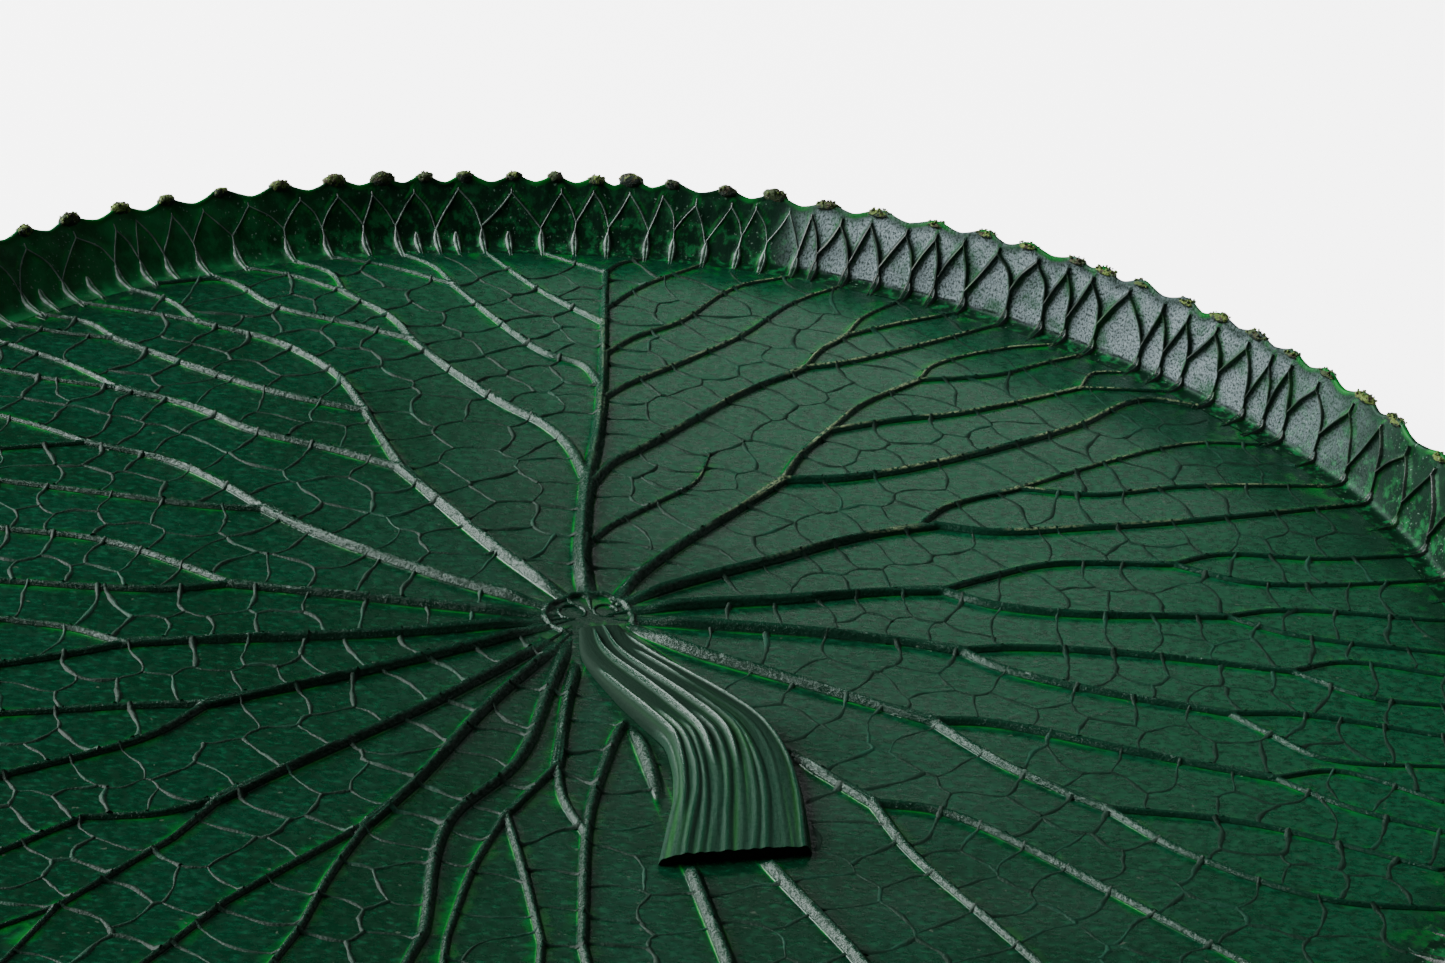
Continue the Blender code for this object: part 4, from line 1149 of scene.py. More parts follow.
@dataclass
class StalkPlan:
    """Where the stalk lies, and its sizes in percent of the floor's radius."""

    plan: LeafPlan
    route: tuple = ((158, 3), (160, 9), (153, 17), (150, 22), (148, 27.5), (150, 32.5), (153, 37.5),
                    (156.3, 43), (159, 48.4))
    widths: tuple = (4.6, 7.2, 9.4, 10.6, 11.8, 12.6, 13.4, 14.5, 15.4)
    heights: tuple = (2.6, 3.2, 3.1, 2.9, 2.6, 2.3, 2.0, 1.8, 1.6)
    skew: float = 16.0                      # degrees that the cut is turned from square to the stalk
    skew_shares: tuple = (0.48, 0.78)       # where along the stalk the turn builds up
    clearance: float = 0.4                  # the ribs stay level with the face this far beside the stalk
    ramp: float = 2.0                       # and have risen to their full height this far beside it

    def frames(self, count: int) -> tuple[Array, Array, Array, Array]:
        """Return the middle line, sideways directions, widths and heights at count places."""
        waypoints = self.plan.flat(self.route)
        fine = smooth_route(waypoints, self.plan.percent)
        lengths = lengths_along(fine)
        stations = np.linspace(0.0, lengths[-1], count)
        middle = np.column_stack([np.interp(stations, lengths, fine[:, axis]) for axis in (0, 1)])
        marks = [lengths[np.argmin(np.linalg.norm(fine - point, axis=1))] for point in waypoints]
        widths = np.interp(stations, marks, self.widths) * self.plan.percent
        heights = np.interp(stations, marks, self.heights) * self.plan.percent
        turn = math.radians(self.skew) * ease(stations / lengths[-1], *self.skew_shares)
        left = sideways_of(middle)
        ahead = np.column_stack((left[:, 1], -left[:, 0]))
        return middle, left * np.cos(turn)[:, None] - ahead * np.sin(turn)[:, None], widths, heights

    def cover(self, points: Array) -> Array:
        """Return how open the face is at each point: 0 under the stalk, rising to 1 past its ramp."""
        middle, sideways, widths, heights = self.frames(60)
        best, half, _ = Surveyor.nearest(points, Ridge(middle, widths / 2.0, heights))
        from_end, left = points - middle[-1], sideways[-1]
        beyond = from_end @ np.array((left[1], -left[0]))
        aside = np.maximum(np.abs(from_end @ left) - widths[-1] / 2.0, 0.0)
        past = np.where(beyond > 0.0, np.hypot(aside, beyond), best - half) / self.plan.percent
        return ease(past, self.clearance, self.ramp)


@dataclass
class LeafFloor:
    """The floor of the tray: its ribs in full relief, drawn with points along every rib."""

    plan: LeafPlan
    ribs: list[Ridge]
    stalk: StalkPlan
    edge_reach: float = 97.4
    columns: int = 2400
    shares: tuple = (0.0, 0.5, 0.92, 1.05, 1.25)    # lines drawn along a rib, over its half width
    spacing: float = 0.0052
    merge: float = 0.25                             # millimetres
    outline_gap: float = 0.15                       # how far ribs keep inside the outline, in percent
    jitter: float = 0.15                            # of the points between the ribs, over their spacing
    panel_gap: float = 0.008                        # this far from a rib the face is all panel, in metres
    # Where each look begins and is full: over the radius towards the bearing, in degrees, or in percent.
    # The painted lit side: the face is painted paler towards this bearing, for the light that falls there.
    painted_lit_bearing: float = 52.0
    painted_lit_start: tuple = (-0.10, 0.60)
    painted_lit_stop: tuple = (1.02, 0.72)
    # Where the ribs' crests are painted pale olive: partly dried crust, partly a painted highlight.
    dry_highlight_start: tuple = (-10.0, 15.0)
    dry_highlight_stop: tuple = (68.0, 56.0)
    dry_highlight_out: tuple = (20.0, 45.0)
    # Painted shade: the face darkens towards the wall's foot and inside the ring at the knot.
    rim_shade: tuple = (91.5, 96.5)
    ring_shade: tuple = (5.6, 4.4)
    outside_ring: tuple = (5.0, 7.0)

    def outline(self) -> Array:
        """Return the floor's edge, which the wall starts from."""
        bearings = np.arange(self.columns) * 360.0 / self.columns
        return self.plan.flat(np.column_stack((bearings, np.full(self.columns, self.edge_reach))))

    def drawing(self) -> tuple[Array, list[tuple[int, int]]]:
        """Return the flat drawing's points and edges, with the outline first."""
        outline = self.outline()
        points = [outline]
        edges = [(i, (i + 1) % len(outline)) for i in range(len(outline))]
        count = len(outline)
        limit = (self.edge_reach - self.outline_gap) * self.plan.percent
        for ridge in self.ribs:
            sideways = sideways_of(ridge.points)
            for share in self.shares:
                for side in (1.0, -1.0)[:1 if share == 0.0 else 2]:
                    line = ridge.points + sideways * (ridge.halves * share * side)[:, None]
                    keep = np.hypot(line[:, 0], line[:, 1]) < limit
                    points.append(line[keep])
                    numbers = np.where(keep, np.cumsum(keep) - 1 + count, -1)
                    edges += [(int(a), int(b)) for a, b in zip(numbers, numbers[1:]) if a >= 0 and b >= 0]
                    count += int(keep.sum())
        points.append(self.fill())
        return np.vstack(points), edges

    def fill(self) -> Array:
        """Return points spread over the whole floor on a jittered grid of triangles."""
        rng = np.random.default_rng(5)
        radius = self.edge_reach * self.plan.percent
        across = np.arange(-radius, radius, self.spacing)
        up = np.arange(-radius, radius, self.spacing * math.sqrt(0.75))
        grid_x, grid_y = np.meshgrid(across, up)
        grid_x = grid_x + (np.arange(len(up)) % 2)[:, None] * self.spacing / 2.0
        spread = np.column_stack((grid_x.ravel(), grid_y.ravel()))
        spread += rng.uniform(-self.jitter, self.jitter, spread.shape) * self.spacing
        return spread[np.hypot(spread[:, 0], spread[:, 1]) < radius - self.spacing * 0.5]

    def build(self, surveyor: Surveyor, material: Material) -> bpy.types.Object:
        """Build the floor."""
        points, edges = self.drawing()
        flat, faces = triangles_between(points, edges, [list(range(self.columns))], self.merge)
        survey = surveyor.survey(flat)
        cover = self.stalk.cover(flat)
        lift = survey.lift * cover + self.plan.swell(flat)
        return make_piece("leaf_floor", self.plan.bend_up(flat, lift), faces, material,
                          crest=survey.crest * cover, **self.looks(flat, survey))

    def looks(self, flat: Array, survey: Survey) -> dict[str, Array]:
        """Return the values that the floor's finish goes by at each point, by name."""
        turned = math.radians(self.painted_lit_bearing)
        across = (flat @ np.array((math.sin(turned), math.cos(turned)))) / self.plan.floor_radius
        reach, here = self.plan.reaches_of(flat), bearings_of(flat)
        return {"foot": survey.foot * ease(reach, *self.outside_ring),
                "panel": np.clip(survey.gap / self.panel_gap, 0.0, 1.0),
                # painted light: paler towards the far right
                "painted_lit_side": ease(across, *self.painted_lit_start) * ease(across, *self.painted_lit_stop),
                # painted shade along the wall's foot and inside the ring
                "painted_shade_margin": np.maximum(ease(reach, *self.rim_shade), ease(reach, *self.ring_shade)),
                "dry_and_highlight": ease(here, *self.dry_highlight_start) * ease(here, *self.dry_highlight_stop) * ease(reach, *self.dry_highlight_out)}


@dataclass
class LeafWall:
    """The upright rim: inside with its lattice, scalloped edge, outside, and the leaf's underside."""

    plan: LeafPlan
    floor: LeafFloor
    rows: int = 34
    peak: float = 0.80          # how far the edge rises at a nub, in percent
    sag: float = 1.5            # how hollow the edge is between nubs
    hollow: float = 0.8         # share of the edge between two nubs that is hollow
    waver: float = 0.10         # how unevenly the edge runs, in percent
    row_spread: float = 0.92    # below 1 the rows lie closer together towards the edge
    outside_rows: int = 10
    edge_rows: int = 5
    # The inside's unevenness: how far apart its tops lie, its pattern and its height.
    roughness: tuple = ((0.012, 21, 0.00022), (0.035, 22, 0.0005))
    folds: float = 130.0        # how many folds run round the outside
    fold_depth: float = 0.0003
    under_shares: tuple = (0.985, 0.9, 0.7, 0.45, 0.2, 0.0)     # the underside's rings, over the radius
    # Where each look begins and is full, in shares of the wall's height or in degrees.
    # painted glow along the wall's top edge
    painted_glow_edge: tuple = (0.98, 0.998)
    # where the painted silvery reflection begins and is full, up the wall
    reflection_rise: tuple = (0.02, 0.06)
    lit_side: tuple = (-18.0, -40.0)

    def edge_extra(self, bearings: Array) -> Array:
        """Return how far the edge stands above the wall's height at each bearing, in percent."""
        nubs = np.sort(np.array(self.plan.nubs) % 360.0)
        around = np.concatenate((nubs[-1:] - 360.0, nubs, nubs[:1] + 360.0))
        here = bearings % 360.0
        index = np.clip(np.searchsorted(around, here, side="right") - 1, 0, len(around) - 2)
        share = (here - around[index]) / (around[index + 1] - around[index])
        rise = np.clip(np.abs(2.0 * share - 1.0) / self.hollow, 0.0, 1.0) ** self.sag
        return self.peak * rise + self.waver * wander(bearings[:, None], 5.0, 8)

    def top_reach(self, bearings: Array) -> Array:
        """Return the reach of the wall's edge on the flat drawing, in percent."""
        height = self.plan.wall_values(bearings, 1)
        return (self.plan.wall_start + height) / self.plan.percent + self.edge_extra(bearings)

    def surface(self, flat: Array, survey: Survey) -> tuple[Array, Array]:
        """Return how far the wall is raised at flat points, and their share of its height."""
        crease = self.plan.crease_reach
        rise = (self.plan.reaches_of(flat) - crease) / (self.top_reach(bearings_of(flat)) - crease)
        rough = sum(wander(flat, apart, pattern) * height for apart, pattern, height in self.roughness)
        return survey.lift + rough * np.clip(rise * 4.0, 0.0, 1.0), rise

    def unrolled(self, flat: Array) -> Array:
        """Return the places along and up the wall of flat points, in metres, for its grain."""
        bearings = np.arctan2(flat[:, 0], flat[:, 1])
        return np.column_stack((bearings * self.plan.floor_radius, np.hypot(flat[:, 0], flat[:, 1]),
                                np.zeros(len(flat))))

    def build(self, surveyor: Surveyor, inside: Material, outside: Material) -> None:
        """Build the inside and the outside of the wall, and the underside."""
        plan, columns, start = self.plan, self.floor.columns, self.floor.edge_reach
        rows, extra = self.rows + self.edge_rows, columns * self.edge_rows
        bearings = np.arange(columns) * 360.0 / columns
        shares = np.linspace(0.0, 1.0, self.rows) ** self.row_spread
        reaches = start + shares[:, None] * (self.top_reach(bearings) - start)[None, :]
        flat = plan.flat(np.column_stack((np.tile(bearings, self.rows), reaches.ravel())))
        survey = surveyor.survey(flat)
        lift, rise = self.surface(flat, survey)
        vertices = self.with_edge(plan.bend_up(flat, lift))
        rise = np.clip(np.append(rise, np.ones(extra)), 0.0, 1.0)
        # painted reflection: silvery on the wall's inside where it faces the key light
        silvered = np.tile(self.silvered(bearings), rows) * ease(rise, *self.reflection_rise)
        unrolled = self.unrolled(flat)
        unrolled = np.vstack((unrolled, np.tile(unrolled[-columns:], (self.edge_rows, 1))))
        rim = make_piece("leaf_rim", vertices, grid_faces(rows, columns, True), inside,
                         crest=np.append(survey.crest, np.zeros(extra)),
                         foot=np.append(survey.foot, np.zeros(extra)),
                         rise=rise, edge=ease(rise, *self.painted_glow_edge), silvered=silvered, unrolled=unrolled,
                         lit=np.tile(ease(turn_between(0.0, bearings), *self.lit_side), rows))
        self.build_outside(vertices[-columns:], outside)

    def with_edge(self, inside: Array) -> Array:
        """Return the inside's points, and after them the rings over the wall's rounded edge."""
        edge, radius = inside[-self.floor.columns:], self.plan.wall_top_thickness / 2.0
        rings = [inside]
        for angle in np.arange(1, self.edge_rows + 1) * math.pi / self.edge_rows:
            across, above = radius * (1.0 - math.cos(angle)), radius * math.sin(angle)
            rings.append(np.column_stack((edge[:, :2] + outward_of(edge) * across, edge[:, 2] + above)))
        return np.vstack(rings)

    @staticmethod
    def silvered(bearings: Array) -> Array:
        """Return how strongly the wall is painted with a silvery reflection at each bearing."""
        here = turn_between(0.0, bearings)
        return ease(here, 9.0, 15.0) * ease(here, 67.0, 41.0)

    @staticmethod
    def corded(bearings: Array) -> Array:
        """Return how broad and dark the wall's lines are at each bearing."""
        here = turn_between(0.0, bearings)
        return ease(here, 9.0, 15.0) * ease(here, 150.0, 110.0)

    @classmethod
    def corded_at(cls, bearing: float) -> float:
        """Return how broad and dark the wall's lines are at one bearing."""
        return float(cls.corded(np.array([bearing]))[0])

    def build_outside(self, edge: Array, material: Material) -> None:
        """Build the outside of the wall from its edge, and the underside in to the middle."""
        outward = outward_of(edge)
        foot = outward * (self.plan.floor_radius + self.plan.wall_foot_thickness)
        folds = np.sin(np.radians(bearings_of(outward)) * self.folds) * self.fold_depth
        rings = []
        for share in np.linspace(0.0, 1.0, self.outside_rows):
            level = 1.0 - share
            flat = foot + (edge[:, :2] - foot) * level
            fold = folds * math.sin(math.pi * share)
            rings.append(np.column_stack((flat + outward * fold[:, None], edge[:, 2] * level)))
        for share in self.under_shares:
            rings.append(np.column_stack((foot * share, np.zeros(len(edge)))))
        back = make_piece("leaf_back", np.vstack(rings), grid_faces(len(rings), len(edge), True), material)


@dataclass
class RimLattice:
    """The wall's crisp lines: split drops at the feet, stems, and arms that meet in pairs."""

    plan: LeafPlan
    pattern: RibPattern
    wall: LeafWall
    thin: float = 0.21          # width of a line on the dark wall, in percent
    broad: float = 0.62         # and on the wall's side with the painted silvery reflection
    steepness: float = 0.36
    step: float = 0.0016
    end_width: float = 0.8      # a line's width at its end, over that at its start
    edge_gap: float = 0.05      # lines end this far below the wall's edge, in percent
    # The two halves of a foot's drop: their widths, how far apart they are along their way, and the
    # degrees from the middle on the dark wall, and what is added on the side with the painted silvery
    # reflection.
    drop_widths: tuple = (0.05, 0.42, 0.38, 0.12)
    drop_spread: tuple = (0.6, 1.0, 1.0, 0.2)
    drop_shift: tuple = (0.16, 0.06)
    drop_steepness: float = 0.3

    def lines(self) -> list[Ridge]:
        """Return the lines."""
        rng = np.random.default_rng(61)
        made = []
        for kind, foot, places in self.pattern.lattice_routes():
            corded = self.wall.corded_at(foot)
            width = (self.thin + (self.broad - self.thin) * corded) * rng.uniform(0.7, 1.25)
            if kind != "drop":
                widths = (width, width, width * self.end_width)
                made.append(self.pattern.wall_line(places, widths, self.steepness, self.step))
                continue
            widths = tuple(width * (1.0 + 0.4 * corded) for width in self.drop_widths)
            shift, added = self.drop_shift
            for side in (1.0, -1.0):
                apart = [(bearing + side * (shift + added * corded) * spread, reach)
                         for (bearing, reach), spread in zip(places, self.drop_spread)]
                made.append(self.pattern.wall_line(apart, widths, self.drop_steepness, self.step))
        return made

    def build(self, surveyor: Surveyor, material: Material) -> bpy.types.Object:
        """Build the lattice."""
        flat, offset, quads = strips(self.lines())
        survey = surveyor.survey(flat)
        lift, rise = self.wall.surface(flat, survey)
        reaches, bearings = self.plan.reaches_of(flat), bearings_of(flat)
        limits = self.wall.top_reach(bearings)[quads].min(axis=1) - self.edge_gap
        inside = reaches[quads].max(axis=1) < limits
        lattice = make_piece("rim_lattice", self.plan.bend_up(flat, lift + offset), quads[inside], material,
                             corded=self.wall.corded(bearings), rise=rise, unrolled=self.wall.unrolled(flat))
        return lattice


@dataclass
class FineVeins:
    """The net of fine raised veins between the ribs, each a low strip draped on the floor."""

    plan: LeafPlan
    ribs: list[Ridge]
    stalk: StalkPlan
    along: float = 5.6          # spacing of the net's cells along a rib, in percent
    beside: float = 2.4         # their distance from the rib's foot
    closest: float = 3.7
    fill: float = 5.2
    width: float = 0.0029
    height: float = 0.00076
    step: float = 0.003
    tries: int = 6000           # places tried for cells away from the ribs
    cell_reach: float = 97.0    # cells lie within this reach
    rim_reach: float = 101.0    # the net is drawn out to here
    end_reach: float = 98.2     # and cut off here
    rib_reach: float = 4.0      # a corner of the net this near to a rib is led onto it, in percent
    lengths: tuple = (0.002, 0.09)      # the shortest and the longest vein, in metres
    crest_limit: float = 0.06   # how far up a rib's flank a vein goes
    worn: float = 0.45          # how much lower the veins are on the worn side
    worn_side: tuple = (-5.0, 25.0)     # where that side begins and is full, to the right, in percent

    def seeds(self, surveyor: Surveyor) -> Array:
        """Return the middles of the net's cells: a row along each side of every rib, then the rest."""
        rng = np.random.default_rng(12)
        percent = self.plan.percent
        tries = []
        for ridge in self.ribs:
            lengths = lengths_along(ridge.points)
            sideways = sideways_of(ridge.points)
            for side in (1.0, -1.0):
                place = rng.uniform(0.2, 0.8) * self.along * percent
                while place < lengths[-1]:
                    i = int(np.searchsorted(lengths, place))
                    offset = ridge.halves[i] + self.beside * percent * rng.uniform(0.8, 1.25)
                    tries.append(ridge.points[i] + sideways[i] * offset * side)
                    place += self.along * percent * rng.uniform(0.75, 1.3)
        radius = self.cell_reach * percent
        spread = rng.uniform(-radius, radius, (self.tries, 2))
        limits = [self.closest * percent] * len(tries) + [self.fill * percent] * len(spread)
        points = np.vstack((np.array(tries), spread))
        gaps = surveyor.survey(points)
        open_face = (gaps.crest <= 0.0) & (np.hypot(points[:, 0], points[:, 1]) < radius)
        kept = np.zeros((0, 2))
        for point, limit, is_open in zip(points, limits, open_face):
            if is_open and (not len(kept) or np.min(np.hypot(*(kept - point).T)) > limit):
                kept = np.vstack((kept, point))
        return kept

    def net(self, seeds: Array) -> list[tuple[Array, Array]]:
        """Return the veins as pairs of ends: the sides of the cells, led to a rib where one is between."""
        rim = self.plan.flat([(bearing, self.rim_reach) for bearing in range(0, 360, 3)])
        points = np.vstack((seeds, rim))
        triangles = [face for face in triangles_between(points, [], [], 1e-4)[1] if len(face) == 3]
        centres = np.array([self.centre_of(*points[list(face)]) for face in triangles])
        sides: dict[tuple[int, int], list[int]] = {}
        for number, face in enumerate(triangles):
            for a, b in zip(face, face[1:] + face[:1]):
                sides.setdefault((min(a, b), max(a, b)), []).append(number)
        starts = np.vstack([ridge.points[:-1] for ridge in self.ribs])
        ends = np.vstack([ridge.points[1:] for ridge in self.ribs])
        veins, on_rib = [], set()
        for (a, b), pair in sides.items():
            if len(pair) != 2:
                continue
            if self.crosses(points[a], points[b], starts, ends):
                on_rib.update(pair)
            elif a < len(seeds) and b < len(seeds):
                veins.append(pair)
        middles = (starts + ends) / 2.0
        for number in on_rib:
            gaps = np.hypot(*(middles - centres[number]).T)
            if gaps.min() < self.rib_reach * self.plan.percent:
                centres[number] = middles[gaps.argmin()]
        return [(centres[a], centres[b]) for a, b in veins]

    @staticmethod
    def centre_of(a: Array, b: Array, c: Array) -> Array:
        """Return the middle of the circle through three points."""
        ab, ac = b - a, c - a
        double = 2.0 * (ab[0] * ac[1] - ab[1] * ac[0])
        if abs(double) < 1e-12:
            return (a + b + c) / 3.0
        x = (ac[1] * (ab @ ab) - ab[1] * (ac @ ac)) / double
        y = (ab[0] * (ac @ ac) - ac[0] * (ab @ ab)) / double
        return a + np.array((x, y))

    @staticmethod
    def crosses(a: Array, b: Array, starts: Array, ends: Array) -> bool:
        """Tell whether the line between two points crosses any of the segments."""
        def side(origin: Array, target: Array, point: Array) -> Array:
            """Return which side of a line each point lies on."""
            way, offset = target - origin, point - origin
            return way[..., 0] * offset[..., 1] - way[..., 1] * offset[..., 0]

        apart = side(a, b, starts) * side(a, b, ends) < 0.0
        return bool((apart & (side(starts, ends, a) * side(starts, ends, b) < 0.0)).any())

    def build(self, surveyor: Surveyor, material: Material) -> bpy.types.Object:
        """Build the net."""
        rng = np.random.default_rng(31)
        lines = []
        shortest, longest = self.lengths
        for start, end in self.net(self.seeds(surveyor)):
            way = end - start
            length = float(np.hypot(*way))
            if length < shortest or length > longest:
                continue
            count = max(3, round(length / self.step) + 1)
            share = np.linspace(0.0, 1.0, count)
            bend = rng.uniform(-0.15, 0.15) * length * np.sin(math.pi * share)
            bend += rng.uniform(-0.04, 0.04) * length * np.sin(2.0 * math.pi * share)
            bend += rng.uniform(-0.0003, 0.0003, count) * np.sin(math.pi * share)
            side = np.array((-way[1], way[0])) / length
            line = start + share[:, None] * way + bend[:, None] * side
            scale = rng.uniform(0.5, 1.15) * (0.85 + 0.3 * np.sin(share * 9.0 + rng.uniform(0.0, 6.0)))
            worn = 1.0 - self.worn * ease(line[:, 0] / self.plan.percent, *self.worn_side)
            lines.append(Ridge(line, scale * self.width / 2.0, scale * worn * self.height))
        flat, offset, quads = strips(lines)
        survey = surveyor.survey(flat)
        cover = self.stalk.cover(flat)
        lift = survey.lift * cover + self.plan.swell(flat) + offset * smooth_step(cover * 3.0)
        crest = survey.crest[quads].min(axis=1)
        reach = self.plan.reaches_of(flat)[quads].max(axis=1)
        under = cover[quads].max(axis=1) <= 0.0
        quads = quads[(crest < self.crest_limit) & (reach < self.end_reach) & ~under]
        net = make_piece("fine_veins", self.plan.bend_up(flat, lift), quads, material)
        return net


@dataclass(frozen=True)
class Nub:
    """One nub: its bearing, its size and its height for that size over the others', and how mossy it is."""

    bearing: float
    size: float
    low: float
    mossy: float


@dataclass
class RimNubs:
    """The nubs on the wall's edge: a rounded dark knob with a lumpy crust, and loose grains of moss."""

    plan: LeafPlan
    wall: LeafWall
    width: float = 3.1
    height: float = 1.15
    thickness: float = 0.0066
    sink: float = 0.15          # how deep a knob sits in the edge, over the height
    grains: int = 20            # grains of moss on a knob
    grain_radii: tuple = (0.0004, 0.0008)
    # Points round a form, its rings, and how lumpy it is.
    knob: tuple = (26, 11, 0.11)
    grain: tuple = (7, 4, 0.25)

    def build(self, material: Material) -> bpy.types.Object:
        """Build all the nubs as one piece."""
        rng = np.random.default_rng(77)
        vertices, faces, tones, crusts, base = [], [], [], [], 0
        for bearing in self.plan.nubs:
            size = rng.uniform(0.70, 1.12)
            corded = self.wall.corded_at(bearing)
            low, wide = 1.0 - 0.58 * corded, 1.0 + 0.05 * corded
            mossy = rng.uniform(0.0, 1.0 - 0.5 * corded) + 0.5 * corded
            nub = Nub(bearing, size * wide, low / wide, mossy)
            for points, quads, crust in [self.cap(nub, rng)] + self.crumbs(nub, rng):
                vertices.append(points)
                faces += (quads + base).tolist()
                tones.append(np.full(len(points), rng.uniform(0.0, 1.0)))
                crusts.append(crust)
                base += len(points)
        nubs = make_piece("rim_nubs", np.vstack(vertices), faces, material, tone=np.concatenate(tones),
                          crust=np.concatenate(crusts))
        return nubs

    def edge_place(self, bearing: float) -> tuple[Array, Array, Array]:
        """Return a point on the wall's edge, and the directions along the edge and outward there."""
        plan = self.plan
        reach = plan.wall_reach(bearing, 1.0) + float(self.wall.edge_extra(np.array([bearing]))[0])
        place = plan.bend_up(plan.flat(((bearing, reach),)), np.zeros(1))[0]
        outward = np.array((math.sin(math.radians(bearing)), math.cos(math.radians(bearing)), 0.0))
        along = np.array((outward[1], -outward[0], 0.0))
        return place + outward * plan.wall_top_thickness / 2.0, along, outward

    @staticmethod
    def dome(centre: Array, axes: Array, form: tuple, rng: np.random.Generator) -> tuple:
        """Return a lumpy round form: its points, its quads, and how high in it each point lies."""
        around, rings, lumps = form
        angles = np.arange(around) / around * 2.0 * math.pi
        levels = np.linspace(-0.5 * math.pi, 0.5 * math.pi, rings)
        ball = np.array([(math.cos(up) * math.cos(turn), math.cos(up) * math.sin(turn), math.sin(up))
                         for up in levels for turn in angles])
        seed = int(rng.integers(1, 100000))
        rough = 1.0 + lumps * wander(ball, 0.9, seed) + 0.5 * lumps * wander(ball, 0.4, seed + 1)
        return centre + (ball * rough[:, None]) @ axes, grid_faces(rings, around, True), ball[:, 2]

    def cap(self, nub: Nub, rng: np.random.Generator) -> tuple:
        """Return the knob of one nub: its points, its quads and how crusted each point is."""
        place, along, outward = self.edge_place(nub.bearing)
        percent = self.plan.percent
        lean = rng.uniform(-0.25, 0.25)
        axes = np.array((along * self.width * percent / 2.0 * nub.size, outward * self.thickness / 2.0,
                         (0.0, 0.0, self.height * percent * nub.size * nub.low)))
        axes[2] += along * lean * self.height * percent
        place = place - np.array((0.0, 0.0, self.sink * self.height * percent))
        points, quads, high = self.dome(place, axes, self.knob, rng)
        return points, quads, high * 0.5 + nub.mossy * 0.6

    def crumbs(self, nub: Nub, rng: np.random.Generator) -> list[tuple]:
        """Return the grains of moss on one nub, each as its knob is."""
        made = []
        percent = self.plan.percent
        for _ in range(round(self.grains * nub.size * (0.3 + nub.mossy))):
            place, along, outward = self.edge_place(nub.bearing)
            aside, across = rng.uniform(-0.95, 0.95), rng.uniform(-0.8, 0.8)
            up = math.sqrt(max(1.0 - aside ** 2 - 0.5 * across ** 2, 0.0)) - 0.22
            place = place + along * aside * self.width * percent / 2.0 * nub.size
            place = place + outward * across * self.thickness / 2.0
            place = place + np.array((0.0, 0.0, up * self.height * percent * nub.size * nub.low))
            radius = rng.uniform(*self.grain_radii)
            axes = np.array((along, outward, (0.0, 0.0, 1.0))) * radius * rng.uniform(0.7, 1.3, (3, 1))
            points, quads, _ = self.dome(place, axes, self.grain, rng)
            made.append((points, quads, np.ones(len(points))))
        return made


@dataclass(frozen=True)
class Flute:
    """One raised crest of the stalk, with its places as shares of the stalk's width and length."""

    top: float              # where it lies across the stalk at the knot
    bottom: float           # and at the cut
    start: float            # where along the stalk it begins
    half: float             # half its width
    height: float
    fade: float = 2.0       # where along the stalk it has sunk to a faint line


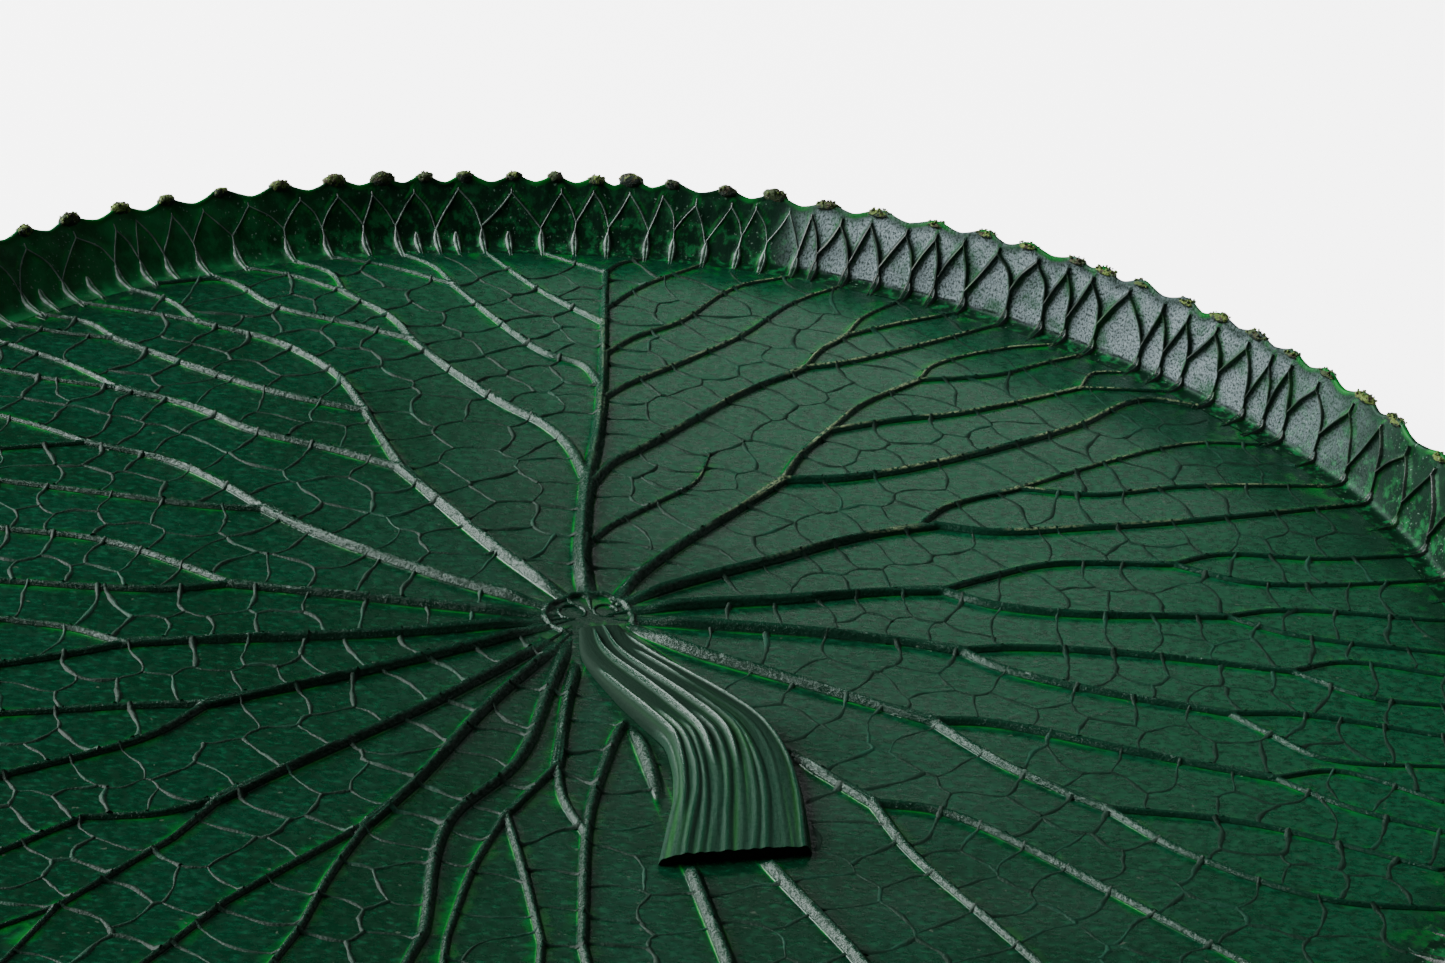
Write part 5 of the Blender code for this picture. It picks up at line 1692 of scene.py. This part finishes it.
@dataclass
class LeafStalk:
    """The flattened, fluted stalk, whose flutes start one after another inside the ring."""

    place: StalkPlan
    points_across: int = 140
    stations: int = 170
    relief: float = 0.34        # share of the height that the flutes stand up
    rounding: float = 0.35      # radius of a flute's crest, over its half width
    waver: float = 0.009        # how far a flute wanders sideways, over the width
    begin: tuple = (-0.03, 0.04)        # a flute rises from before its start to past it, along the stalk
    fade_run: float = 0.16      # how long it takes to sink
    faded: float = 0.75         # how much of its height it loses
    thin_end: tuple = (0.30, 0.45)      # the body's height at the knot, and where it is full
    least_rise: float = 0.0002
    flutes: tuple = (Flute(0.045, 0.035, 0.05, 0.038, 0.62), Flute(0.235, 0.17, 0.15, 0.028, 0.40, 0.40),
                     Flute(0.34, 0.29, 0.48, 0.040, 0.32), Flute(0.30, 0.385, 0.40, 0.035, 0.25),
                     Flute(0.43, 0.475, 0.00, 0.036, 0.62, 0.72), Flute(0.56, 0.565, 0.46, 0.040, 0.34),
                     Flute(0.65, 0.655, 0.03, 0.045, 0.78, 0.70), Flute(0.77, 0.735, 0.48, 0.035, 0.30),
                     Flute(0.83, 0.815, 0.42, 0.040, 0.40), Flute(0.92, 0.90, 0.20, 0.036, 0.50, 0.90),
                     Flute(0.985, 0.975, 0.45, 0.025, 0.25))

    def section(self, across: Array, share: float) -> tuple[Array, Array, Array]:
        """Shape one section of the stalk.

        Args:
            across: The places across it, from 0 to 1.
            share: How far along the stalk it is, from 0 to 1.

        Returns:
            At each place the height over the stalk's own, how near it is to a crest, and to a crest's foot.
        """
        crest, foot = np.zeros(len(across)), np.zeros(len(across))
        for flute in self.flutes:
            middle = flute.top + (flute.bottom - flute.top) * share
            middle += self.waver * math.sin(13.0 * share + 40.0 * flute.top)
            begun = float(ease(share, *(flute.start + part for part in self.begin)))
            sunk = float(ease(share, flute.fade - self.fade_run, flute.fade))
            size = begun * flute.height * (1.0 - self.faded * sunk)
            away = np.abs(across - middle) / flute.half
            crest = np.maximum(crest, size * np.maximum(roof(away, self.rounding), 0.0))
            foot = np.maximum(foot, begun * np.exp(-((away - 1.25) / 0.4) ** 2))
        body = np.clip(1.0 - np.abs(2.0 * across - 1.0) ** 7, 0.0, 1.0) ** 0.5
        low, full = self.thin_end
        body = body * (low + (1.0 - low) * float(ease(share, 0.0, full)))
        return (1.0 - self.relief) * body + self.relief * crest * body ** 0.35, crest, foot

    def build(self, material: Material) -> bpy.types.Object:
        """Build the stalk."""
        middle, sideways, widths, heights = self.place.frames(self.stations)
        across = np.linspace(0.0, 1.0, self.points_across)
        along = np.linspace(0.0, 1.0, self.stations)
        floor_level = self.place.plan.floor_thickness + self.place.plan.touch_gap
        vertices, crests, feet, shares, unrolled = [], [], [], [], []
        for i in [*range(self.stations), self.stations - 1]:    # the last one again, to close the cut
            level, crest, foot = self.section(across, float(along[i]))
            offset = (0.5 - across) * widths[i]
            rise = np.maximum(level * heights[i], self.least_rise)
            row = np.column_stack((middle[i] + sideways[i] * offset[:, None], floor_level + rise))
            ends = row[[-1, 0]].copy()
            ends[:, 2] = floor_level
            vertices.append(np.vstack((row, ends)))
            crests.append(np.append(crest, (0.0, 0.0)))
            feet.append(np.append(foot, (0.0, 0.0)))
            shares.append(np.full(len(row) + 2, along[i]))
            unrolled.append(np.column_stack((np.append(offset, offset[[-1, 0]]), shares[-1] * 0.2,
                                             np.zeros(len(row) + 2))))
        ring = len(vertices[0])
        last = self.stations * ring
        faces = grid_faces(self.stations, ring, True).tolist()
        faces += [list(range(ring))[::-1], list(range(last, last + ring))]
        stalk = make_piece("leaf_stalk", np.vstack(vertices), faces, material, flute=np.concatenate(crests),
                           foot=np.concatenate(feet), share=np.concatenate(shares),
                           cut=np.append(np.zeros(last), np.ones(ring)), unrolled=np.vstack(unrolled))
        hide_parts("stalk")
        return stalk


@dataclass(frozen=True)
class Studio:
    """The pale floor, the soft lights and the camera at the photograph's angle."""

    camera_place: tuple = (0.0516, -1.320, 0.7506)
    camera_pitch: float = 27.07
    camera_roll: float = 5.02
    lens: float = 87.2
    sensor: float = 36.0
    floor_half: float = 12.0
    floor_level: float = -0.0003        # just below the leaf's underside
    # Each light: place, aim, width and height in metres, and power in watts.
    lights: tuple = (("left_softbox", (-3.55, 0.85, 2.20), (0.0, 0.1, 0.0), 3.4, 2.6, 500.0),
                     ("back_softbox", (0.26, 3.1, 1.36), (0.1, 0.0, 0.0), 1.0, 0.55, 2.2),
                     ("right_softbox", (2.20, 1.70, 2.30), (0.1, 0.1, 0.0), 2.6, 2.4, 9.0),
                     ("front_softbox", (-0.60, -2.60, 1.90), (0.0, 0.2, 0.0), 2.4, 1.6, 6.0))
    air: float = 0.01           # brightness of the room
    table_glow: float = 5.1     # the floor is lit from below, as a light table is

    def build(self) -> None:
        """Build the stage, the lights and the camera."""
        self.build_floor()
        for name, place, aim, width, height, power in self.lights:
            lamp = bpy.data.lights.new(name, "AREA")
            lamp.shape = "RECTANGLE"
            lamp.size, lamp.size_y, lamp.energy = width, height, power
            item = add_object(name, lamp)
            item.location = place
            item.rotation_mode = "QUATERNION"
            item.rotation_quaternion = (Vector(aim) - Vector(place)).to_track_quat("-Z", "Y")
        world = bpy.data.worlds.new("studio_air")
        world.use_nodes = True
        air = world.node_tree.nodes["Background"].inputs
        air["Color"].default_value = (1.0, 1.0, 1.0, 1.0)
        air["Strength"].default_value = self.air
        bpy.context.scene.world = world
        self.build_camera()

    def build_floor(self) -> None:
        """Build the plain pale floor."""
        mesh = bpy.data.meshes.new("studio_floor")
        corners = [(east * self.floor_half, north * self.floor_half, self.floor_level)
                   for east, north in ((-1.0, -1.0), (1.0, -1.0), (1.0, 1.0), (-1.0, 1.0))]
        mesh.from_pydata(corners, [], [(0, 1, 2, 3)])
        shade = Shade("studio_floor", roughness=0.9)
        shade.set("Base Color", (0.92, 0.92, 0.92))
        shade.set("Emission Color", (1.0, 1.0, 1.0))
        shade.set("Emission Strength", self.table_glow)
        mesh.materials.append(shade.material)
        stage = add_object("studio_floor", mesh)

    def build_camera(self) -> None:
        """Build the camera, pitched down and rolled as the photograph is."""
        pitch, roll = math.radians(self.camera_pitch), math.radians(self.camera_roll)
        forward = Vector((0.0, math.cos(pitch), -math.sin(pitch)))
        level_right = Vector((1.0, 0.0, 0.0))
        level_up = level_right.cross(forward)
        right = math.cos(roll) * level_right + math.sin(roll) * level_up
        up = -math.sin(roll) * level_right + math.cos(roll) * level_up
        data = bpy.data.cameras.new("photo_camera")
        data.lens, data.sensor_width = self.lens, self.sensor
        camera = add_object("photo_camera", data)
        turned = Matrix((right, up, -forward)).transposed().to_4x4()
        camera.matrix_world = Matrix.Translation(self.camera_place) @ turned
        bpy.context.scene.camera = camera


def main() -> None:
    """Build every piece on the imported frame, then the studio."""
    for item in list(bpy.data.objects):
        bpy.data.objects.remove(item, do_unlink=True)
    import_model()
    plan = LeafPlan()
    stalk_plan = StalkPlan(plan)
    pattern = RibPattern(plan)
    ribs = pattern.floor_ribs()
    surveyor = Surveyor(ribs + pattern.lattice())
    floor = LeafFloor(plan, ribs, stalk_plan)
    face = floor.build(surveyor, LeafSkin().build())
    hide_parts("leaf_pad")
    wall = LeafWall(plan, floor)
    wall.build(surveyor, WallSkin().build(), BackSkin().build())
    RimLattice(plan, pattern, wall).build(surveyor, LatticeSkin().build())
    FineVeins(plan, ribs, stalk_plan).build(surveyor, VeinSkin().build())
    RimNubs(plan, wall).build(MossCrust().build())
    LeafStalk(stalk_plan).build(StalkSkin().build())
    Studio().build()


if __name__ == "__main__":
    logging.basicConfig(level=logging.INFO, format="%(message)s")
    main()
